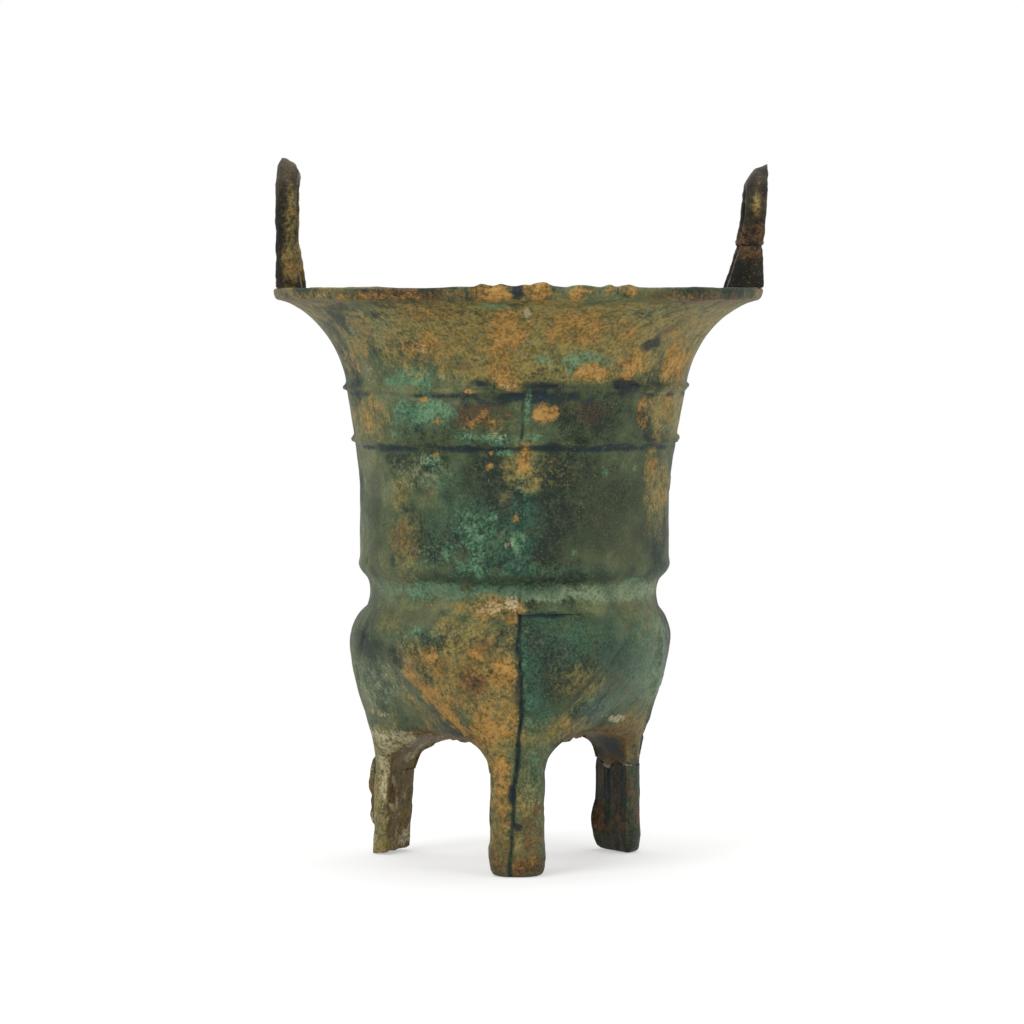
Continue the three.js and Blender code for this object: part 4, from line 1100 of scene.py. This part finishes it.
def capped(x, y, z, shares):
    """A column's rows, closed at both ends by rings that shrink to its middle."""
    shares = np.array(shares)[:, None]
    middle = 0.5 * (LEG_INNER + LEG_OUTER)
    x = np.concatenate([middle + (x[:1] - middle) * shares, x, middle + (x[-1:] - middle) * shares[::-1]])
    y = np.concatenate([y[:1] * shares, y, y[-1:] * shares[::-1]])
    return x, y, np.concatenate([z[:1] + 0 * shares, z, z[-1:] + 0 * shares])


def at_leg(number, x, y, z):
    """Points of a leg, from places along and across its bearing."""
    turn = math.radians(LEG_BEARINGS[number])
    c, s = math.cos(turn), math.sin(turn)
    return np.stack([x * c - y * s + STAND_SHIFT, x * s + y * c, z], axis=-1)


def left_fin(x, y, z):
    """Mould flash that stands out of the rear left leg's half round and runs up onto its root."""
    return follow(LEFT_FLASH, z) * bell(y, *LEFT_FLASH_PLACE) * smooth(*LEFT_FLASH_EDGE, x)


def left_leg_colours(fields, flat, strip, fin, grid):
    """Brown flat face, cream strip and brown flash of the rear left leg and its root."""
    spots = smooth(0.0, 0.5, noise(grid, 7.0, 94, 2))
    blotches = smooth(0.0, 0.45, noise(tall(grid, 0.6), 9.0, 97))
    patchy = 0.35 + 0.5 * smooth(-0.3, 0.4, noise(grid, 9.0, 95, 2))
    flash = np.clip(fin / 2.0, 0, 1)
    brown = np.maximum(flat, flash)
    either = np.maximum(np.maximum(flat, strip), flash)
    fade(fields, flat, "pale", "light")
    fade(fields, np.maximum(strip, flash), "navy")
    fade(fields, np.maximum(0.7 * strip, 0.5 * flat), "rust")
    fade(fields, strip, "deep")
    add(fields, pale=np.maximum(patchy * strip, 0.8 * spots * brown), light=0.4 * strip, wash=0.6 * either,
        rust=(0.5 + 0.3 * blotches) * brown, deep=0.9 * blotches * flat)
    fields["tone"] = fields["tone"] - 0.4 * blotches * flat
    fade(fields, 0.85 * either, "green", "teal", "ochre")
    # Darker at the foot of the flash: painted shade in the crease beside it.
    darken(fields, within(fin, (0.05, 0.25), (1.5, 0.6)), 0.2)


def front_wear(x, y, z, grid, fields, ease):
    """Worn patches."""
    worn = smooth(0.05, 0.5, noise(tall(grid, 0.8), 5.0, 96)) * smooth(54, 34, z)
    add(fields, rust=0.6 * worn, deep=0.6 * worn)
    fade(fields, 0.5 * worn, "ochre")
    return -0.3 * worn


def rear_left_wear(x, y, z, grid, fields, ease):
    """Flash, a cream strip beside a dark line, and a streaked flat face."""
    flat = smooth(*FLAT_EDGE, x)
    fin = left_fin(x, y, z)
    strip = smooth(*STRIP_EDGE, y) * (1.0 - flat) * (0.75 + 0.25 * smooth(14, 30, z))
    # The dark line is a groove, painted navy higher up: painted shade in the crease between the flash and the
    # cream strip.
    dark = bell(y, *LEFT_DARK_LINE) * (1.0 - flat)
    left_leg_colours(fields, flat, strip, fin, grid)
    edge = 4.0 * flat * (1.0 - flat) * (y > 0) * smooth(-0.3, 0.2, noise(grid, 9.0, 98, 2))
    darken(fields, 0.8 * edge, 0.2)
    navy = np.maximum(0.8 * dark * smooth(10, 20, z), 0.8 * smooth(2.5, 0.5, z))
    add(fields, navy=navy, wash=0.9 * smooth(15, 6, z))
    streaks = noise(tall(grid, 0.25), 4.0, 91, 2)
    return fin + ease * (0.7 * strip - 0.6 * dark + flat * (0.6 * streaks + 0.6 * noise(grid, 5.0, 92, 2)))


def rear_right_wear(x, y, z, grid, fields, ease):
    """Flash on one edge, and a rib and a groove up the flat face."""
    flat = smooth(*FLAT_EDGE, x)
    fin = bell(np.hypot(x - LEG_INNER - 0.5, y - LEG_HALF_WIDTH), 0.0, 1.6)
    rib, groove = (bell(y, *place) * flat * smooth(6, 10, z) for place in (RIGHT_RIB, RIGHT_GROOVE))
    corner = within(x, (LEG_INNER, LEG_INNER + 1.0), (LEG_INNER + 9.0, LEG_INNER + 5.0)) * smooth(0, -9, y)
    corner = corner * smooth(22, 28, z)
    streaks = noise(tall(grid, 0.25), 4.0, 91, 2)
    blotches = smooth(0.0, 0.5, noise(grid, 8.0, 98))
    fade(fields, 0.6, "ochre", "wash")
    fade(fields, 0.7, "rust")
    add(fields, deep=0.85, rust=0.3 + 0.3 * streaks + 0.35 * blotches, teal=0.9 * corner, navy=0.7 * groove)
    fade(fields, 0.6 * corner, "deep")
    return ease * (follow(RIGHT_FLASH, z) * fin + 0.7 * rib - 0.6 * groove + 0.3 * flat * streaks)


# What sets each leg apart: mould flash, breaks and stains, as relief on top of the common crust
LEG_WEAR = {"front": front_wear, "rear_right": rear_right_wear, "rear_left": rear_left_wear}


def build_leg(number, name, seed):
    leg_top = LEG_HEIGHT - LEG_DROPS[number]
    foot = np.linspace(0, FOOT_ROUND, FOOT_ROWS)
    heights = np.concatenate([foot, np.linspace(FOOT_ROUND, leg_top, SHAFT_ROWS)[1:]])
    x, y = leg_ring(leg_inset(heights, name, leg_top))
    x, y, z = capped(x, y, heights[:, None] + 0 * x, (0.0, 0.35, 0.7))
    ring = np.stack([x, y, 0 * z], axis=-1)
    splay = 0.0
    if name == "rear_left":
        floor = np.clip((LEG_OUTER - TOE_REST - x) * math.tan(math.radians(SOLE_TILT)), 0, None)
        floor = floor + 0.8 * noise(ring, 5.0, 40) * smooth(80, 74, x)
        z = floor + (leg_top - floor) * z / leg_top
        splay = BROKEN_SPLAY * (1 - z / leg_top)
    if name == "rear_right":
        top = leg_top + follow(BREAK_LINE, y) - 0.9 + 0.8 * noise(ring, 4.0, 44, 2)
        stretched = BREAK_LOW + (z - BREAK_LOW) * (top - BREAK_LOW) / (leg_top - BREAK_LOW)
        z = np.where(z > BREAK_LOW, stretched, z)
    grid = at_leg(number, x + splay, y, z)
    normal = grid_normals(grid, False)
    fields = corrosion(grid, -normal[..., 1])
    off, radius = np.degrees(np.arctan2(y, x)), np.hypot(x, y)
    angle = LEG_BEARINGS[number] + off
    normal = at_joint(normal, radius, off, angle, z, leg_top)
    outward = smooth(LEG_INNER + 1, LEG_INNER + 4, x)
    below = smooth(1.0, 10.0, leg_top - z)
    rough = 0.3 * noise(grid, 13.0, seed, 2) + 0.12 * noise(grid, 4.5, seed + 1, 1)
    seam = seam_relief(grid, angle, radius, 1.1) * (1.0 - 0.25 * below)
    relief = crust(grid, fields, BOILER_SEED) + below * rough + outward * seam
    relief = relief + LEG_WEAR[name](x, y, z, grid, fields, smooth(0.0, 3.0, leg_top - z))
    # Dark seam lines, partly dirt and partly painted shade in their grooves.
    darken(fields, seam_cover(grid, angle, radius) * outward * (1.0 - 0.1 * below), 0.6)
    grid = grid + normal * (relief * smooth(0.0, 2.0, z))[..., None]
    grid[..., 2] = np.maximum(grid[..., 2], 0.0)
    make_mesh(name + "_column", grid, fields, "leg_bronze", name + "_leg")


# Handles

def handle_path(rise):
    """Middle of a handle's bar, up, over and down: rows of place along the rim, height."""
    half = (HANDLE_WIDTH - HANDLE_BAR) / 2
    spring = rise - HANDLE_BAR / 2 - HANDLE_ARCH
    angle = np.linspace(math.pi, 0, ARCH_POINTS)
    arch = np.stack([half * np.cos(angle), spring + HANDLE_ARCH * np.sin(angle)], axis=1)
    return spaced(np.concatenate([[[-half, -HANDLE_FOOT]], arch, [[half, -HANDLE_FOOT]]]), HANDLE_STEP)


def handle_section():
    """A chamfered bar's section, as shares of its depth and width, walked once round."""
    c = HANDLE_CHAMFER
    corners = [(0, 1 - c), (c, 1), (1 - c, 1), (1, 1 - c), (1, c), (1 - c, 0), (c, 0), (0, c), (0, 1 - c)]
    return spaced(np.array(corners, float), SECTION_STEP)[:-1]


def build_handle(side_name, side, rise, outer, inner, shadow, seed, rough, crack=None):
    path, section = handle_path(rise), handle_section()
    along = np.gradient(path, axis=0)
    along = along / np.linalg.norm(along, axis=1, keepdims=True)
    offset = (section[:, 1] - 0.5)[None, :] * HANDLE_BAR
    y = path[:, :1] - offset * along[:, 1:]
    height = path[:, 1:] + offset * along[:, :1]
    near, far = follow(inner, height), follow(outer, height)
    reach = RIM_RADIUS - (near + (far - near) * section[:, 0][None, :])
    z = RIM_Z + height
    limit = pot_radius(z) - HANDLE_BEDDING
    sunk = (height < 0) & (np.hypot(reach, y) > limit)
    reach = np.where(sunk, np.sqrt(np.maximum(limit ** 2 - y ** 2, 1)), reach)
    grid = np.stack([side * reach, side * y, z], axis=-1)
    normal = grid_normals(grid, False)
    fields = corrosion(grid, -normal[..., 1], seed)
    relief = crust(grid, fields, seed)
    relief = relief + rough * (0.7 * noise(grid, 7.0, seed + 3) + 0.3 * noise(grid, 2.6, seed + 4, 2))
    fade(fields, 0.6, "green", "teal", "light", "pale")
    depth = section[:, 0][None, :] + 0.02 * noise(grid, 9.0, seed + 6, 2)
    # Darker tone on the inner part of the bar, up to the share shadow of its depth: painted shade standing in
    # for a chamfer turned from the light. Navy and deep crust darken the tone as well.
    dark = np.maximum(fields["navy"], 0.6 * fields["deep"])
    dark = np.maximum(dark, smooth(shadow + 0.02, shadow - 0.03, depth))
    fields["tone"] = fields["tone"] - 0.4 * dark
    fade(fields, 0.15, "wash", "ochre")
    fade(fields, 0.6 * dark, "wash", "ochre")
    fade(fields, 0.7, "navy", "deep")
    if crack:
        away = height - crack + 1.2 * noise(grid, 9.0, seed + 5, 2)
        gap = bell(away, -0.9, 0.8)
        relief = relief + 0.9 * bell(away, 1.0, 1.3) - 0.8 * gap
        rust = smooth(16.0, 3.0, np.abs(away - 2.0))
        fade(fields, rust, "navy")
        add(fields, navy=0.9 * gap, rust=0.55 * rust)
    grid = grid + normal * (relief * smooth(-2.0, 3.0, height))[..., None]
    make_mesh(side_name + "_loop", grid, fields, "handle_bronze", side_name + "_handle")


# Chaplets, repair and grate

def build_chaplet(wall, number, centre_angle, centre_z, seed):
    """A plug through a wall, a little proud of it on both sides, with a pit in its face."""
    rings = np.linspace(0, 1, CHAPLET_ROWS)[:, None]
    turn = np.linspace(0, 2 * math.pi, CHAPLET_COLUMNS, endpoint=False)[None, :]
    wobble = noise(np.stack([3 * np.cos(turn), 3 * np.sin(turn), 0 * turn + seed], axis=-1), 3.0, seed, 2)
    reach = rings * CHAPLET_REACH * (1 + 0.16 * wobble)
    across, up = reach * np.cos(turn), reach * np.sin(turn)
    away = np.hypot(across, up)
    angle = centre_angle + np.degrees(across / (DRUM_RADIUS if wall == "pot" else CHAPLET_BELLY_RADIUS))
    z = centre_z + up
    leg = min(range(3), key=lambda k: abs(turn_from(centre_angle, LEG_BEARINGS[k])))
    off = turn_from(angle, LEG_BEARINGS[leg])
    radius = pot_radius(z) if wall == "pot" else outer_wall_radius(off, z, LEG_DROPS[leg])
    base = around(radius, np.radians(angle), z)
    face = np.stack([np.cos(np.radians(angle)), np.sin(np.radians(angle)), 0 * z], axis=-1)
    fields = corrosion(base, -face[..., 1])
    if wall == "pot":
        rise = pot_relief(base, angle, radius, z, True, fields)
    else:
        rise = boiler_relief(base, angle, radius, z, off, fields)
    rise = rise + 0.2 * smooth(4.6, 2.6, away) - 0.5 * bell(away, 0.0, 1.6)
    front, back = base + face * rise[..., None], base - face * (WALL + 0.2)
    grid = np.concatenate([front, back[::-1]])
    both = {layer: np.concatenate([cover, cover[::-1]]) for layer, cover in fields.items()}
    pit, ring = (np.concatenate([bell(away, *place), 0 * away]) for place in (CHAPLET_PIT, CHAPLET_RING))
    fade(both, 0.7, "navy")
    add(both, navy=pit, pale=0.35 * ring)
    make_mesh(f"{wall}_plug_{number}", grid, both, "chaplet_bronze", f"{wall}_chaplet_{number}")


def weathered_copy(name, node, body, slot, pitch, seed, rough, swell=0.0):
    """A piece made from a solid of the frame, with its edges worn round and its faces corroded."""
    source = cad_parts[node]
    copy = bpy.data.objects.new(name + "_work", source.data.copy())
    bpy.context.scene.collection.objects.link(copy)
    remesh = copy.modifiers.new("even", "REMESH")
    remesh.mode = "VOXEL"
    remesh.voxel_size = pitch * MM
    wear = copy.modifiers.new("wear", "SMOOTH")
    wear.factor = WEAR_FACTOR
    wear.iterations = WEAR_STEPS
    bpy.context.view_layer.update()
    ready = copy.evaluated_get(bpy.context.evaluated_depsgraph_get())
    mesh = bpy.data.meshes.new_from_object(ready)
    count = len(mesh.vertices)
    points, normal = np.zeros(count * 3), np.zeros(count * 3)
    mesh.vertices.foreach_get("co", points)
    mesh.vertex_normals.foreach_get("vector", normal)
    points, normal = points.reshape(-1, 3) / MM, normal.reshape(-1, 3)
    fields = corrosion(points, -normal[:, 1] if body == "vessel" else 0 * points[:, 0], seed)
    points = points + normal * (swell + rough * crust(points, fields, seed))[:, None]
    corners = [list(p.vertices) for p in mesh.polygons]
    faces = np.array([face + face[-1:] * (4 - len(face)) for face in corners])
    bpy.data.objects.remove(copy)
    make_mesh(name, points, fields, slot, node, faces, body)


def build_repair_fill():
    """Grey filler pressed into the break, in ragged flakes over a dark bed of painted shade."""
    leg_top = LEG_HEIGHT - LEG_DROPS[RIGHT_LEG]
    heights = np.linspace(leg_top + FILL_SPAN[0], leg_top + FILL_SPAN[1], FILL_ROWS)
    x, y = leg_ring(0 * heights)
    x, y, z = capped(x, y, heights[:, None] + 0 * x, (0.0, 0.5))
    grid = at_leg(RIGHT_LEG, x, y, z)
    normal = grid_normals(grid, False)
    middle = leg_top + follow(BREAK_LINE, y) - 0.6
    bulge = smooth(2.6, 0.6, np.abs(z - middle))
    flakes = smooth(0.0, 0.45, noise(grid, 6.0, 91, 2)) + 0.4 * noise(grid, 2.6, 95, 2)
    grid = grid + normal * (1.2 * bulge * flakes - 0.6)[..., None]
    fields = {"flake": 0.6 * bulge * flakes}
    make_mesh("repair_flakes", grid, fields, "repair_filler", "repair_fill", sharp=FLAKE_SHARP)


build_pot()
build_boiler()
build_leg(FRONT_LEG, "front", seed=201)
build_leg(RIGHT_LEG, "rear_right", seed=211)
build_leg(LEFT_LEG, "rear_left", seed=221)
build_handle("left", -1, LEFT_RISE, LEFT_OUTER, LEFT_INNER, shadow=-0.1, seed=401, rough=0.6)
build_handle("right", 1, RIGHT_RISE, RIGHT_OUTER, RIGHT_INNER, shadow=0.36, seed=451, rough=0.5,
             crack=RIGHT_CRACK)
for k, mark in enumerate(POT_CHAPLETS):
    build_chaplet("pot", k + 1, mark, POT_CHAPLET_Z, seed=500 + k)
for k, mark in enumerate(BOILER_CHAPLETS):
    build_chaplet("boiler", k + 1, mark, BOILER_CHAPLET_Z, seed=520 + k)
build_repair_fill()
weathered_copy("repair_bar", "repair_strip", "vessel", "repair_metal", pitch=0.35, seed=541, rough=0.4,
               swell=0.9)
weathered_copy("grate_disc", "grate_plate", "grate", "grate_bronze", pitch=1.0, seed=551, rough=0.6)
weathered_copy("grate_loop", "grate_lifting_loop", "grate", "grate_bronze", pitch=0.5, seed=561, rough=0.5)
weathered_copy("hinge_bar", "hinge_staple", "vessel", "pot_bronze", pitch=0.6, seed=571, rough=0.4)
for k in (1, 2, 3):
    name, node = f"rest_lug_{k}", f"grate_rest_{k}"
    weathered_copy(name, node, "vessel", "pot_bronze", pitch=0.7, seed=580 + k, rough=0.5)
for node in ("front_leg_core", "rear_left_leg_core", "rear_right_leg_core"):
    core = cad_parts[node]
    core.data.materials.clear()
    core.data.materials.append(MATERIALS["casting_clay"])


# Stage

def build_floor():
    """White at a distance, and near the feet a matt grey that takes their shadow."""
    bpy.ops.mesh.primitive_plane_add(size=FLOOR_SIZE, location=(0, 0, 0))
    floor = bpy.context.object
    floor.name = "floor"
    shade = Shader(bpy.data.materials.new("floor"))
    for name, value in (("Base Color", FLOOR_GREY), ("Roughness", 0.9), ("Specular IOR Level", 0.0)):
        shade.put(shade.surface.inputs[name], value)
    glow = shade.add("Emission", {"Strength": shade.math("MULTIPLY", shade.backdrop_rays(), FLOOR_GLOW)})
    near = shade.add("AddShader", {0: shade.surface.outputs[0], 1: glow.outputs[0]})
    reach = shade.add("VectorMath", {0: shade.place})
    reach.operation = "DISTANCE"
    far = shade.between(*FLOOR_FADE, reach.outputs["Value"])
    both = shade.add("MixShader", {0: far, 1: near.outputs[0], 2: shade.add("Emission", {}).outputs[0]})
    shade.put(shade.nodes["Material Output"].inputs["Surface"], both.outputs[0])
    floor.data.materials.append(shade.owner)


def build_world():
    """White to look at, and a softer light on the object."""
    world = bpy.data.worlds.new("studio")
    bpy.context.scene.world = world
    sky = Shader(world)
    level = sky.add("MapRange", {"Value": sky.backdrop_rays(), "To Min": SKY_LIGHT, "To Max": 1.0})
    light = sky.nodes["Background"]
    sky.put(light.inputs["Color"], (1, 1, 1, 1))
    sky.put(light.inputs["Strength"], level.outputs["Result"])


def aimed(name, data, place, target):
    """A lamp or camera at a place, turned to a target."""
    holder = bpy.data.objects.new(name, data)
    holder.location = place
    holder.rotation_euler = (Vector(target) - Vector(place)).to_track_quat("-Z", "Y").to_euler()
    bpy.context.scene.collection.objects.link(holder)
    return holder


build_floor()
build_world()
for name, place, size, power in LAMPS:
    lamp = bpy.data.lights.new(name, "AREA")
    lamp.shape = "SQUARE"
    lamp.size = size
    lamp.energy = power
    aimed(name, lamp, place, LAMP_AIM).visible_camera = False
lens = bpy.data.cameras.new("camera")
lens.sensor_width = SENSOR_MM
lens.lens = FOCAL_MM
bpy.context.scene.camera = aimed("camera", lens, EYE, AIM)
bpy.context.scene.view_settings.view_transform = "Standard"
